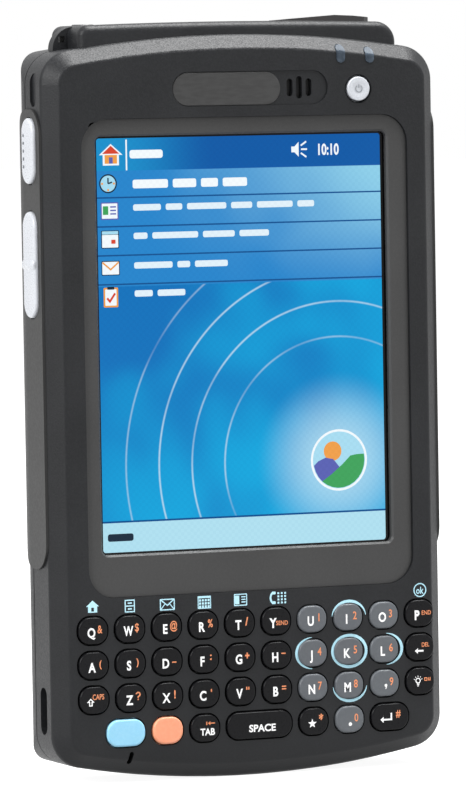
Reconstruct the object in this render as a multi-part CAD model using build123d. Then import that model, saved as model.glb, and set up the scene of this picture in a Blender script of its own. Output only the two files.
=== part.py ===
from build123d import *
from math import sqrt
import os

# Portable barcode data terminal, upright: X to the viewer's right, Z up along the terminal.
# Everything is drawn with y = depth behind the front face and z = height above the foot,
# and is then moved back by MID_DEPTH, so that the origin is at the bottom centre of the whole.

# ---- Body: one outer form that the housings, grips and pads share ----
BODY_WIDTH = 74.0
BODY_HEIGHT = 129.5
BODY_DEPTH = 17.6
TOP_RADIUS = 205.0
FOOT_RADIUS = 165.0
CORNER_RADIUS = 6.0
FRONT_BEVEL = 2.6
FRONT_CREASE_RADIUS = 0.8
FRONT_RIM_RADIUS = 1.0
INNER_BEVEL = 0.5
BACK_EDGE_RADIUS = 7.5
BACK_FOOT_RADIUS = 5.0
BACK_TOP_RADIUS = 4.0
FOOT_FLAT = 5.1
ROLL_HEIGHT = 7.5
WALL = 1.6
SEAM_DEPTH = 4.0
SEAM_GROOVE = 0.25
COVER_LINE_DEPTH = 9.6
FIT_GAP = 0.05
MOVING_GAP = 0.2

# ---- Display window and what lies behind it ----
WINDOW_X = 0.2
WINDOW_SIDE_MARGIN = 6.2
WINDOW_TOP_MARGIN = 14.4
WINDOW_LOW_Z = 32.5
WINDOW_CORNER = 5.0
WINDOW_STEP = 0.6
BEZEL_THICK = 1.1
BEZEL_LEDGE = 0.5
BEZEL_LEFT = 2.95
BEZEL_RIGHT = 3.75
BEZEL_HEAD = 3.0
BEZEL_FOOT = 7.4
OPENING_CORNER = 1.0
BEZEL_LIP = 0.35
TOUCH_SIDE_LAP = 1.55
TOUCH_END_LAP = 2.4
TOUCH_THICK = 0.9
TOUCH_CORNER = 0.8
LCD_SIDE_LAP = 1.25
LCD_END_LAP = 2.7
LCD_THICK = 3.1
LCD_DROP = 0.5
GLUE_GAP = 0.03

# ---- Keyboard ----
KEYPAD_X = 0.85
KEY_COLUMNS = 10
KEY_ROWS = 4
KEY_SIDE_MARGIN = 3.3
KEY_HEAD_MARGIN = 5.44
KEY_LOW_ROW_Z = 9.06
KEY_COLUMN_GAP = 1.48
KEY_ROW_GAP = 1.3
KEY_CORNER = 2.15
KEY_PROUD = 0.5
KEY_EDGE = 0.35
KEY_GAP = 0.28
KEY_FLANGE = 0.28
KEY_FLANGE_THICK = 0.5
FLANGE_GAP = 0.1
KEY_TRAVEL = 0.4
KEY_DOME_GAP = 0.06
TAB_COLUMN = 3
STAR_COLUMN = 6
BLUE_KEY_WIDTH = 7.1
ORANGE_KEY_WIDTH = 5.6
ENTER_KEY_WIDTH = 7.2
SHEET_THICK = 1.2
DOME_HEIGHT = 0.35
DOME_RADIUS = 1.3

# ---- Small things on the front ----
POWER_INSET = 15.3
POWER_LIFT = 4.5
POWER_RADIUS = 2.1
POWER_DISH_RADIUS = 2.75
POWER_DISH_DEPTH = 0.3
POWER_PROUD = 0.35
POWER_FLANGE = 0.55
POWER_BOWL_RADIUS = 8.0
POWER_BOWL_DEPTH = 0.12
POWER_TRAVEL = 0.5
PILL_X = 1.2
PILL_LIFT = 4.9
PILL_WIDTH = 29.4
PILL_HEIGHT = 6.0
PILL_DEPTH = 0.3
SLOT_X = 10.55
SLOT_PITCH = 1.8
SLOT_WIDTH = 1.15
SLOT_HEIGHTS = (3.1, 3.9, 3.1)
SPEAKER_RADIUS = 3.5
SPEAKER_DROP = 0.6
SPEAKER_THICK = 2.6
LIGHT_PIPES = ((-3.25, 3.7, 3.2), (2.3, 4.0, 2.8))
LIGHT_PIPE_WIDTH = 1.6
LIGHT_PIPE_DEPTH = 3.0
LIGHT_PIPE_PROUD = 0.15
MIC_X = -23.3
MIC_Z = 4.6
MIC_SLOT_WIDTH = 0.8
MIC_SLOT_HEIGHT = 2.2
MIC_LEAN = -12.0

# ---- Grips and the buttons on the left side ----
GRIP_PROUD = 0.4
GRIP_SINK = 0.7
GRIP_FRONT_DEPTH = 2.6
GRIP_BACK_MARGIN = 4.6
GRIP_LOW_Z = 37.6
GRIP_TOP_MARGIN = 12.5
GRIP_TIP_RADIUS = 4.6
SIDE_BUTTON_DEPTH = 7.0
SIDE_BUTTON_PROUD = 0.6
SIDE_BUTTON_SKIRT = 1.1
SIDE_BUTTON_SKIRT_THICK = 0.7
SKIRT_GAP = 0.15
SCAN_BUTTON_DROP = 7.2
SCAN_BUTTON_LENGTH = 11.4
SCAN_BUTTON_WIDTH = 5.2
SCAN_TRAVEL = 0.4
ROCKER_DROP = 19.6
ROCKER_LENGTH = 18.4
ROCKER_WIDTH = 5.5
ROCKER_SKIRT_LENGTH = 6.0
ROCKER_RIDGE = 0.3
ROCKER_RIDGE_WIDTH = 1.6
RIDGE_SEAT = 0.15
RIDGE_INSET = 0.3
SIDE_RECESS_LIFT = 3.3
SIDE_RECESS_LENGTH = 5.8
SIDE_RECESS_WIDTH = 2.8
SIDE_RECESS_DEPTH = 0.45
SIDE_CUT_SETBACK = 0.6
CRADLE_SLOT_Z = 13.0
CRADLE_SLOT_LENGTH = 8.2
CRADLE_SLOT_WIDTH = 3.0
CRADLE_SLOT_DEPTH = 1.3

# ---- Scanner module on the top end ----
MODULE_LEFT_INSET = 7.6
MODULE_RIGHT_INSET = 6.4
MODULE_FRONT_DEPTH = 2.7
MODULE_BACK_INSET = 0.6
MODULE_SEAT = 6.5
MODULE_RISE = 2.2
MODULE_TOP_RADIUS = 1000.0
MODULE_LEFT_SHOULDER = 1.8
MODULE_RIGHT_SHOULDER = 3.6
MODULE_EDGE_RADIUS = 1.4
MODULE_WALL = 1.3
LUG_REACH = 2.8
LUG_DROP = 4.5
LUG_DEPTH = 8.5
LUG_THICK = 2.2
LUG_HOLE = 1.1
LUG_HOLE_SET = 1.15
LUG_HOLE_DROP = 2.75
LUG_CREST = ((1.1, 0.6), (-1.75, 1.85))
SCAN_WINDOW_INSET = 13.0
SCAN_WINDOW_WIDTH = 18.4
SCAN_WINDOW_FRONT = 5.6
SCAN_WINDOW_BACK_INSET = 2.6
SCAN_WINDOW_THICK = 1.0
HOOD_THICK = 2.4
HOOD_RISE = 0.9
HOOD_CREST = ((0.0, 0.1), (0.14, 0.33), (0.625, 1.0), (0.815, 0.83), (0.984, 0.5), (1.0, 0.2))
ENGINE_WIDTH = 16.0
ENGINE_DEPTH = 8.0
ENGINE_HEIGHT = 8.6
ENGINE_GAP = 0.3
ENGINE_DROP = 2.4
ENGINE_LENS_RADIUS = 2.6
ENGINE_LENS_RISE = 2.0

# ---- Boards ----
BOARD_THICK = 1.0
BOARD_EDGE = 2.4
LOGIC_BOARD_FOOT_INSET = 2.5
LOGIC_BOARD_HEAD_INSET = 3.1
LOGIC_BOARD_SIDE_INSET = 5.5
BOARD_JOIN = 4.0
BRIDGE_WIDTH = 28.0
CHIPS = (
    (-14.0, 92.0, 14.0, 14.0),
    (8.0, 92.0, 11.0, 11.0),
    (-12.0, 56.0, 16.0, 11.0),
    (12.0, 60.0, 9.0, 15.0),
)
CHIP_HEIGHT = 1.3
SWITCH_REACH = 3.0
SWITCH_LENGTH = 4.0
TONGUE_WIDTH = 11.0

# ---- Battery, its door and the latch ----
BATTERY_HEIGHT = 57.6
BATTERY_Z = 59.0
BATTERY_CORNER = 2.0
BAY_GAP = 0.15
BAY_DEPTH = 10.2
BAY_WALL = 0.9
DOOR_THICK = 1.4
DOOR_MARGIN = 1.2
DOOR_GAP = 0.15
DOOR_CORNER = 3.0
LATCH_WIDTH = 12.0
LATCH_HEIGHT = 5.0
LATCH_THICK = 1.1
LATCH_DROP = 0.5
LATCH_TRAVEL = 2.2
LATCH_STEM_WIDTH = 4.0
LATCH_STEM_HEIGHT = 2.0
LATCH_PLATE = 1.2
LATCH_PLATE_THICK = 0.8
LATCH_CORNER = 1.0
LATCH_STEM_CORNER = 0.3
LATCH_FOOT = 4.0
LATCH_RIBS = 3
RIB_PITCH = 1.3
RIB_WIDTH = 0.6
RIB_DEPTH = 0.3

# ---- Stylus in its silo ----
STYLUS_INSET = 12.0
STYLUS_BACK_INSET = 5.2
STYLUS_RADIUS = 2.3
STYLUS_LOW_Z = 30.0
STYLUS_CAP_LENGTH = 9.0
STYLUS_CAP_DROP = 0.2
STYLUS_CAP_EDGE = 0.5
STYLUS_BARREL_RADIUS = 2.0
STYLUS_TIP_LENGTH = 7.0
STYLUS_TIP_RADIUS = 0.6
SILO_GAP = 0.15
SILO_WALL = 0.9
SILO_WEB = 1.2
SILO_LAP = 0.1

# ---- Screws and the docking connector ----
SCREW_LEFT_INSET = 5.5
SCREW_RIGHT_INSET = 4.9
SCREW_FOOT_LIFT = 5.17
SCREW_TOP_DROP = 11.8
SCREW_SILO_SET = 6.5
SCREW_RADIUS = 0.9
SCREW_HEAD_RADIUS = 1.7
SCREW_HEAD_THICK = 1.1
SCREW_HEAD_SINK = 1.6
SCREW_SLACK = 0.02
BOSS_RADIUS = 1.9
BOSS_MEET_DEPTH = 6.0
SEAT_RADIUS = 2.9
SEAT_THICK = 1.4
PILOT_DEPTH = 2.6
DOCK_WIDTH = 27.8
DOCK_DEPTH = 4.4
DOCK_MID_DEPTH = 8.4
DOCK_HEIGHT = 5.0
DOCK_SINK = 0.9
DOCK_CONTACTS = 16
DOCK_CONTACT_PITCH = 1.5
DOCK_CONTACT_WIDTH = 0.7
DOCK_CONTACT_RISE = 0.2
DOCK_SHELL = 0.7
DOCK_TONGUE = 1.2

# ---- Sizes that follow from the ones above ----
OVERALL_DEPTH = KEY_PROUD + BODY_DEPTH
MID_DEPTH = BODY_DEPTH - OVERALL_DEPTH / 2
HALF_WIDTH = BODY_WIDTH / 2
ROLL_RADIUS = BODY_DEPTH - FOOT_FLAT
WINDOW_WIDTH = BODY_WIDTH - 2 * WINDOW_SIDE_MARGIN
WINDOW_TOP_Z = BODY_HEIGHT - WINDOW_TOP_MARGIN
WINDOW_HEIGHT = WINDOW_TOP_Z - WINDOW_LOW_Z
WINDOW_Z = (WINDOW_TOP_Z + WINDOW_LOW_Z) / 2
OPENING_WIDTH = WINDOW_WIDTH - BEZEL_LEFT - BEZEL_RIGHT
OPENING_HEIGHT = WINDOW_HEIGHT - BEZEL_HEAD - BEZEL_FOOT
DISPLAY_X = WINDOW_X + (BEZEL_LEFT - BEZEL_RIGHT) / 2
DISPLAY_Z = WINDOW_Z + (BEZEL_FOOT - BEZEL_HEAD) / 2
TOUCH_WIDTH = OPENING_WIDTH + 2 * TOUCH_SIDE_LAP
TOUCH_HEIGHT = OPENING_HEIGHT + 2 * TOUCH_END_LAP
LCD_WIDTH = OPENING_WIDTH + 2 * LCD_SIDE_LAP
LCD_HEIGHT = OPENING_HEIGHT + 2 * LCD_END_LAP
KEY_PITCH_X = (BODY_WIDTH - 2 * KEY_SIDE_MARGIN + KEY_COLUMN_GAP) / KEY_COLUMNS
KEY_TOP_ROW_Z = WINDOW_LOW_Z - KEY_HEAD_MARGIN
KEY_PITCH_Z = (KEY_TOP_ROW_Z - KEY_LOW_ROW_Z) / (KEY_ROWS - 1)
KEY_WIDTH = KEY_PITCH_X - KEY_COLUMN_GAP
KEY_HEIGHT = KEY_PITCH_Z - KEY_ROW_GAP
POWER_X = HALF_WIDTH - POWER_INSET
POWER_Z = WINDOW_TOP_Z + POWER_LIFT
PILL_Z = WINDOW_TOP_Z + PILL_LIFT
GRIP_BACK_DEPTH = BODY_DEPTH - GRIP_BACK_MARGIN
GRIP_HIGH_Z = BODY_HEIGHT - GRIP_TOP_MARGIN
SCAN_BUTTON_Z = GRIP_HIGH_Z - SCAN_BUTTON_DROP
ROCKER_Z = SCAN_BUTTON_Z - ROCKER_DROP
SIDE_RECESS_Z = GRIP_HIGH_Z + SIDE_RECESS_LIFT
MODULE_LEFT = -HALF_WIDTH + MODULE_LEFT_INSET
MODULE_RIGHT = HALF_WIDTH - MODULE_RIGHT_INSET
MODULE_BACK_DEPTH = BODY_DEPTH - MODULE_BACK_INSET
MODULE_FLOOR_Z = BODY_HEIGHT - MODULE_SEAT
MODULE_TOP_Z = BODY_HEIGHT + MODULE_RISE
LUG_HOLE_X = MODULE_LEFT - LUG_HOLE_SET
LUG_HOLE_Z = MODULE_TOP_Z - LUG_HOLE_DROP
SCAN_WINDOW_X = MODULE_RIGHT - SCAN_WINDOW_INSET
SCAN_WINDOW_BACK = MODULE_BACK_DEPTH - SCAN_WINDOW_BACK_INSET
ENGINE_BACK = MODULE_BACK_DEPTH - MODULE_WALL - ENGINE_GAP
ENGINE_HIGH_Z = MODULE_TOP_Z - MODULE_WALL - ENGINE_DROP
STYLUS_X = -HALF_WIDTH + STYLUS_INSET
STYLUS_DEPTH = BODY_DEPTH - STYLUS_BACK_INSET
SILO_RADIUS = STYLUS_RADIUS + SILO_GAP + SILO_WALL
BATTERY_WIDTH = 2 * (SILO_LAP - STYLUS_X - SILO_RADIUS - BAY_WALL - BAY_GAP)
LOGIC_BOARD_LOW_Z = WINDOW_LOW_Z + LOGIC_BOARD_FOOT_INSET
LOGIC_BOARD_HIGH_Z = WINDOW_TOP_Z - LOGIC_BOARD_HEAD_INSET
LOGIC_BOARD_WIDTH = BODY_WIDTH - 2 * LOGIC_BOARD_SIDE_INSET
SCREW_LEFT_X = -HALF_WIDTH + SCREW_LEFT_INSET
SCREW_RIGHT_X = HALF_WIDTH - SCREW_RIGHT_INSET
SCREW_TOP_Z = BODY_HEIGHT - SCREW_TOP_DROP
FOOT_MID_Z = FOOT_RADIUS + SCREW_FOOT_LIFT
SCREWS = (
    (SCREW_LEFT_X, FOOT_MID_Z - sqrt(FOOT_RADIUS**2 - SCREW_LEFT_X**2)),
    (SCREW_RIGHT_X, FOOT_MID_Z - sqrt(FOOT_RADIUS**2 - SCREW_RIGHT_X**2)),
    (STYLUS_X + SCREW_SILO_SET, SCREW_TOP_Z),
    (SCREW_RIGHT_X, SCREW_TOP_Z),
)
BEZEL_BACK = WINDOW_STEP + BEZEL_THICK
TOUCH_DEPTH = BEZEL_BACK + GLUE_GAP
LCD_DEPTH = TOUCH_DEPTH + TOUCH_THICK + GLUE_GAP
FLANGE_DEPTH = WALL + FLANGE_GAP
KEY_BACK = FLANGE_DEPTH + KEY_FLANGE_THICK
DOME_DEPTH = KEY_BACK + KEY_TRAVEL + KEY_DOME_GAP
SHEET_DEPTH = DOME_DEPTH + DOME_HEIGHT
KEY_BOARD_DEPTH = SHEET_DEPTH + SHEET_THICK + GLUE_GAP
LOGIC_BOARD_DEPTH = LCD_DEPTH + LCD_THICK + GLUE_GAP
DOOR_DEPTH = BODY_DEPTH - DOOR_THICK
DOOR_WIDTH = BATTERY_WIDTH + 2 * DOOR_MARGIN
DOOR_LOW_Z = BATTERY_Z - BATTERY_HEIGHT / 2 - DOOR_MARGIN
DOOR_HIGH_Z = BATTERY_Z + BATTERY_HEIGHT / 2 + DOOR_MARGIN
HINGE_DEPTH = BODY_DEPTH - DOOR_THICK / 2
HINGE_Z = DOOR_HIGH_Z - DOOR_THICK / 2
LATCH_Z = DOOR_LOW_Z - LATCH_DROP - LATCH_HEIGHT / 2
GRIP_FACE_X = -(HALF_WIDTH + GRIP_PROUD)
BUTTON_FACE_X = GRIP_FACE_X - SIDE_BUTTON_PROUD
SKIRT_X = -(HALF_WIDTH - WALL) + SKIRT_GAP
SKIRT_BACK_X = SKIRT_X + SIDE_BUTTON_SKIRT_THICK
ROOM = 20.0


# ---- Drawing helpers: a face drawn flat, pushed through the body along one direction ----
def along_depth(face, near, far):
    """Push a face drawn in X and Z from one depth to another."""
    return extrude(Plane.XZ.offset(-near) * face, amount=near - far)


def along_x(face, left, right):
    """Push a face drawn in depth and Z from left to right."""
    return extrude(Plane.YZ.offset(left) * face, amount=right - left)


def along_z(face, low, high):
    """Push a face drawn in X and depth upwards."""
    return extrude(Plane.XY.offset(low) * face, amount=high - low)


def block(x0, x1, y0, y1, z0, z1):
    """A plain box between two corners."""
    return Pos((x0 + x1) / 2, (y0 + y1) / 2, (z0 + z1) / 2) * Box(x1 - x0, y1 - y0, z1 - z0)


def flat_box(left, right, low, high):
    """A flat rectangle between two corners."""
    return Pos((left + right) / 2, (low + high) / 2) * Rectangle(right - left, high - low)


def rod(x, z, radius, near, far):
    """A round rod along the depth."""
    return along_depth(Pos(x, z) * Circle(radius), near, far)


def pad(x, z, width, height, corner):
    """A rounded rectangle placed in X and Z."""
    return Pos(x, z) * RectangleRounded(width, height, min(corner, width / 2 - 0.01, height / 2 - 0.01))


def bore_face(gap=0.0):
    """The stylus's round section, or its silo's."""
    return Pos(STYLUS_X, STYLUS_DEPTH) * Circle(STYLUS_RADIUS + gap)


def touch_face(gap=0.0):
    """Outline of the touch panel, or of its hole."""
    corner = TOUCH_CORNER + gap
    return pad(DISPLAY_X, DISPLAY_Z, TOUCH_WIDTH + 2 * gap, TOUCH_HEIGHT + 2 * gap, corner)


def side_oblong(z, length, width):
    """An upright oblong just behind the seam, drawn in depth and Z."""
    place = Pos(SEAM_DEPTH + SIDE_CUT_SETBACK + width / 2, z)
    return place * RectangleRounded(width, length, width / 2 - 0.01)


def joined(pieces):
    """One solid from several that meet."""
    whole = pieces[0]
    for piece in pieces[1:]:
        whole = whole + piece
    return whole


# ---- The outer form ----
def body_outline(grow=0.0):
    """Front view: straight sides between a domed top and a rounded foot, grown all round."""
    sides = flat_box(-HALF_WIDTH - grow, HALF_WIDTH + grow, -grow, BODY_HEIGHT + grow)
    foot = Pos(0, FOOT_RADIUS) * Circle(FOOT_RADIUS + grow)
    top = Pos(0, BODY_HEIGHT - TOP_RADIUS) * Circle(TOP_RADIUS + grow)
    outline = sides & foot & top
    return fillet(outline.vertices(), CORNER_RADIUS + grow)


def body_section(grow=0.0):
    """Seen from above: square front, large radii at the back."""
    section = flat_box(-HALF_WIDTH - grow, HALF_WIDTH + grow, -grow, BODY_DEPTH + grow)
    back = [v for v in section.vertices() if v.Y > BODY_DEPTH / 2]
    return fillet(back, BACK_EDGE_RADIUS + grow)


def body_profile(grow=0.0):
    """Side view: the front face rolls back towards the foot."""
    back = BODY_DEPTH + grow
    upper = flat_box(-grow, back, ROLL_HEIGHT, BODY_HEIGHT + grow)
    roll = Pos(ROLL_RADIUS, ROLL_HEIGHT) * Circle(ROLL_RADIUS + grow)
    behind = flat_box(ROLL_RADIUS, back, -grow, ROLL_HEIGHT)
    lower = flat_box(-grow, back, -grow, ROLL_HEIGHT)
    profile = upper + (lower & (roll + behind))
    foot_corner = [v for v in profile.vertices() if v.X > back - 1 and v.Y < 1 - grow]
    profile = fillet(foot_corner, min(BACK_FOOT_RADIUS, FOOT_FLAT - 0.1) + grow)
    top_corner = [v for v in profile.vertices() if v.X > back - 1 and v.Y > BODY_HEIGHT + grow - 1]
    return fillet(top_corner, BACK_TOP_RADIUS + grow)


def body(amount=0.0, bevel=FRONT_BEVEL):
    """The outer form, grown or shrunk by an amount, with its front edge bevelled all round."""
    outline = along_depth(body_outline(amount), -ROOM, BODY_DEPTH + ROOM)
    section = along_z(body_section(amount), -ROOM, BODY_HEIGHT + ROOM)
    profile = along_x(body_profile(amount), -BODY_WIDTH, BODY_WIDTH)
    form = outline & section & profile
    if not bevel:
        return form
    roll_reach = ROLL_RADIUS - sqrt(ROLL_RADIUS**2 - ROLL_HEIGHT**2)
    edges = [(edge, edge.bounding_box()) for edge in form.edges()]
    rim = [edge for edge, box in edges if box.max.Y < roll_reach + 1 and not lies_across(box)]
    return chamfer(rim, bevel)


def lies_across(box):
    """Whether an edge is the line across the front where its roll towards the foot begins."""
    return box.size.X > BODY_WIDTH * 0.8 and box.size.Z < 0.5 and abs(box.center().Z - ROLL_HEIGHT) < 1


def skin_form(amount=0.0):
    """The outer form with both edges of its front bevel softened."""
    form = body(amount)
    near, far = -amount, FRONT_BEVEL - amount
    boxes = [(edge, edge.bounding_box()) for edge in form.edges()]
    shallow = [(e, b) for e, b in boxes if b.min.Y < near + 0.3 and b.size.Y < FRONT_BEVEL / 2]
    crease = [e for e, b in shallow if not lies_across(b)]
    form = fillet(crease, FRONT_CREASE_RADIUS)
    boxes = [(edge, edge.bounding_box()) for edge in form.edges()]
    rim = [e for e, b in boxes if b.min.Y > far - 0.01 and b.max.Y < far + 0.6 and b.size.Y < 0.6]
    return fillet(rim, FRONT_RIM_RADIUS)


# ---- Keys: name, column or centre, row, width ----
def key_places():
    """Every key as name, x, z and width, row by row."""
    rows = (
        ("q", "w", "e", "r", "t", "y", "u", "i", "o", "p"),
        ("a", "s", "d", "f", "g", "h", "j", "k", "l", "backspace"),
        ("shift", "z", "x", "c", "v", "b", "n", "m", "comma", "backlight"),
    )
    places = []
    for r, row in enumerate(rows):
        z = KEY_TOP_ROW_Z - r * KEY_PITCH_Z
        for c, name in enumerate(row):
            places.append((name, column_x(c), z, KEY_WIDTH))
    tab_x, star_x, period_x = (column_x(c) for c in (TAB_COLUMN, STAR_COLUMN, STAR_COLUMN + 1))
    orange_x = tab_x - (KEY_WIDTH + ORANGE_KEY_WIDTH) / 2 - KEY_COLUMN_GAP
    blue_x = orange_x - (ORANGE_KEY_WIDTH + BLUE_KEY_WIDTH) / 2 - KEY_COLUMN_GAP
    space_width = star_x - tab_x - KEY_WIDTH - 2 * KEY_COLUMN_GAP
    enter_x = period_x + (KEY_WIDTH + ENTER_KEY_WIDTH) / 2 + KEY_COLUMN_GAP
    places.append(("blue", blue_x, KEY_LOW_ROW_Z, BLUE_KEY_WIDTH))
    places.append(("orange", orange_x, KEY_LOW_ROW_Z, ORANGE_KEY_WIDTH))
    places.append(("tab", tab_x, KEY_LOW_ROW_Z, KEY_WIDTH))
    places.append(("space", (tab_x + star_x) / 2, KEY_LOW_ROW_Z, space_width))
    places.append(("star", star_x, KEY_LOW_ROW_Z, KEY_WIDTH))
    places.append(("period", period_x, KEY_LOW_ROW_Z, KEY_WIDTH))
    places.append(("enter", enter_x, KEY_LOW_ROW_Z, ENTER_KEY_WIDTH))
    return places


def column_x(column):
    """Centre of a key column."""
    return KEYPAD_X + (column - (KEY_COLUMNS - 1) / 2) * KEY_PITCH_X


def key(x, z, width):
    """A cap with a flat top, rounded edge and a retaining flange behind the front wall."""
    cap = along_depth(pad(x, z, width, KEY_HEIGHT, KEY_CORNER), -KEY_PROUD, KEY_BACK)
    top = cap.faces().sort_by(Axis.Y)[0]
    cap = fillet(top.edges(), KEY_EDGE)
    wide = pad(x, z, width + 2 * KEY_FLANGE, KEY_HEIGHT + 2 * KEY_FLANGE, KEY_CORNER + KEY_FLANGE)
    return cap + along_depth(wide, FLANGE_DEPTH, KEY_BACK)


def keypad_sheet():
    """Silicone sheet with one dome under each key, resting on the keyboard board."""
    low = MIC_Z + MIC_SLOT_HEIGHT
    high = KEY_TOP_ROW_Z + KEY_HEIGHT / 2 + KEY_FLANGE
    field = Pos(0, (low + high) / 2) * Rectangle(BODY_WIDTH, high - low)
    sheet = along_depth(body_outline(-BOARD_EDGE) & field, SHEET_DEPTH, SHEET_DEPTH + SHEET_THICK)
    domes = [rod(x, z, DOME_RADIUS, DOME_DEPTH, SHEET_DEPTH) for _, x, z, _ in key_places()]
    cuts = [rod(x, z, BOSS_RADIUS + MOVING_GAP, 0, BODY_DEPTH) for x, z in SCREWS]
    return joined([sheet] + domes) - cuts


# ---- Housings ----
def window_face(gap=0.0):
    """Outline of the recess that the display bezel fills."""
    return pad(WINDOW_X, WINDOW_Z, WINDOW_WIDTH + 2 * gap, WINDOW_HEIGHT + 2 * gap, WINDOW_CORNER + gap)


def speaker_slots():
    """Three upright slots beside the badge."""
    slots = []
    for i, height in enumerate(SLOT_HEIGHTS):
        face = pad(SLOT_X + (i - 1) * SLOT_PITCH, PILL_Z, SLOT_WIDTH, height, SLOT_WIDTH / 2)
        slots.append(along_depth(face, -1, WALL + 1))
    return slots


def module_envelope(gap=0.0):
    """The block of space that the scanner module takes from the housings."""
    return block(
        MODULE_LEFT - gap,
        MODULE_RIGHT + gap,
        MODULE_FRONT_DEPTH - gap,
        BODY_DEPTH + ROOM,
        MODULE_FLOOR_Z - gap,
        BODY_HEIGHT + ROOM,
    )


def grip_band(side, gap=0.0):
    """The skin of one side grip, wrapping from the front seam round the back edge."""
    outer = along_z(body_section(GRIP_PROUD), 0, BODY_HEIGHT)
    inner = along_z(body_section(-GRIP_SINK - gap), 0, BODY_HEIGHT)
    depth = GRIP_BACK_DEPTH - GRIP_FRONT_DEPTH + 2 * gap
    height = GRIP_HIGH_Z - GRIP_LOW_Z + 2 * gap
    patch = Pos((GRIP_BACK_DEPTH + GRIP_FRONT_DEPTH) / 2, (GRIP_HIGH_Z + GRIP_LOW_Z) / 2)
    patch = patch * RectangleRounded(depth, height, min(GRIP_TIP_RADIUS, depth / 2 - 0.01))
    reach = (side * BODY_WIDTH / 4, side * BODY_WIDTH)
    return (outer - inner) & along_x(patch, min(reach), max(reach))


def side_pill(z, length, width, left, right):
    """An upright oblong on the left side, pushed from left to right."""
    face = Pos(SIDE_BUTTON_DEPTH, z) * RectangleRounded(width, length, min(width, length) / 2 - 0.01)
    return along_x(face, left, right)


def side_button_holes(gap):
    """Clear passages for the scan button and the rocker."""
    outside = BUTTON_FACE_X - 1
    holes = []
    for z, length, width in (
        (SCAN_BUTTON_Z, SCAN_BUTTON_LENGTH, SCAN_BUTTON_WIDTH),
        (ROCKER_Z, ROCKER_LENGTH, ROCKER_WIDTH),
    ):
        holes.append(side_pill(z, length + 2 * gap, width + 2 * gap, outside, SKIRT_X))
    return holes


def front_housing(outer, cavity, grip_cuts):
    """The front shell: face, rolled foot and a shallow rim back to the seam."""
    shell = outer & block(-BODY_WIDTH, BODY_WIDTH, -1, SEAM_DEPTH, -1, BODY_HEIGHT + 1)
    shell = shell - cavity
    posts = [rod(x, z, BOSS_RADIUS, WALL - BEZEL_LEDGE, BOSS_MEET_DEPTH) for x, z in SCREWS]
    ledge = along_depth(window_face(BEZEL_LEDGE), WALL - BEZEL_LEDGE, LCD_DEPTH)
    shell = joined([shell, ledge] + posts)
    cuts = [along_depth(window_face(), -1, BEZEL_BACK), along_depth(touch_face(FIT_GAP), -1, BODY_DEPTH)]
    for _, x, z, width in key_places():
        hole = pad(x, z, width + 2 * KEY_GAP, KEY_HEIGHT + 2 * KEY_GAP, KEY_CORNER + KEY_GAP)
        cuts.append(along_depth(hole, -1, WALL + 1))
    cuts.append(rod(POWER_X, POWER_Z, POWER_RADIUS + KEY_GAP, -1, WALL + 1))
    dish = Cone(POWER_RADIUS + KEY_GAP, POWER_DISH_RADIUS, 2 * POWER_DISH_DEPTH)
    cuts.append(Pos(POWER_X, 0, POWER_Z) * Rot(90, 0, 0) * dish)
    cuts.append(along_depth(pad(PILL_X, PILL_Z, PILL_WIDTH, PILL_HEIGHT, PILL_HEIGHT / 2), -1, PILL_DEPTH))
    cuts.extend(speaker_slots())
    cuts.extend(along_depth(face, -1, SEAM_DEPTH) for face in light_pipe_faces(FIT_GAP))
    mic = Rot(0, 0, MIC_LEAN) * RectangleRounded(MIC_SLOT_WIDTH, MIC_SLOT_HEIGHT, MIC_SLOT_WIDTH / 2 - 0.01)
    cuts.append(along_depth(Pos(MIC_X, MIC_Z) * mic, -1, WALL + 2))
    cuts.extend(rod(x, z, SCREW_RADIUS + SCREW_SLACK, PILOT_DEPTH, BODY_DEPTH) for x, z in SCREWS)
    cuts.append(module_envelope(FIT_GAP))
    return shell - cuts - grip_cuts


def battery_bay():
    """Walls of the pocket that holds the battery, open to the back."""
    width = BATTERY_WIDTH + 2 * BAY_GAP
    height = BATTERY_HEIGHT + 2 * BAY_GAP
    walls = pad(0, BATTERY_Z, width + 2 * BAY_WALL, height + 2 * BAY_WALL, BATTERY_CORNER + BAY_WALL)
    hollow = pad(0, BATTERY_Z, width, height, BATTERY_CORNER)
    shell = along_depth(walls, BAY_DEPTH - BAY_WALL, BODY_DEPTH - WALL / 2)
    return shell, along_depth(hollow, BAY_DEPTH, BODY_DEPTH + 1)


def door_space(gap):
    """The door's plate with its rounded hinge edge, or the pocket round it."""
    low = DOOR_LOW_Z - gap
    plate = Pos(0, (low + HINGE_Z) / 2) * Rectangle(DOOR_WIDTH + 2 * gap, HINGE_Z - low)
    lower = [v for v in plate.vertices() if v.Y < HINGE_Z - 1]
    plate = fillet(lower, DOOR_CORNER + gap)
    half = DOOR_WIDTH / 2 + gap
    radius = DOOR_THICK / 2 + gap
    barrel = along_x(Pos(HINGE_DEPTH, HINGE_Z) * Circle(radius), -half, half)
    if not gap:
        return along_depth(plate, DOOR_DEPTH, BODY_DEPTH) + barrel
    swing = block(-half, half, HINGE_DEPTH, BODY_DEPTH + 1, HINGE_Z - radius, HINGE_Z + radius)
    return along_depth(plate, DOOR_DEPTH, BODY_DEPTH + 1) + barrel + swing


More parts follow.
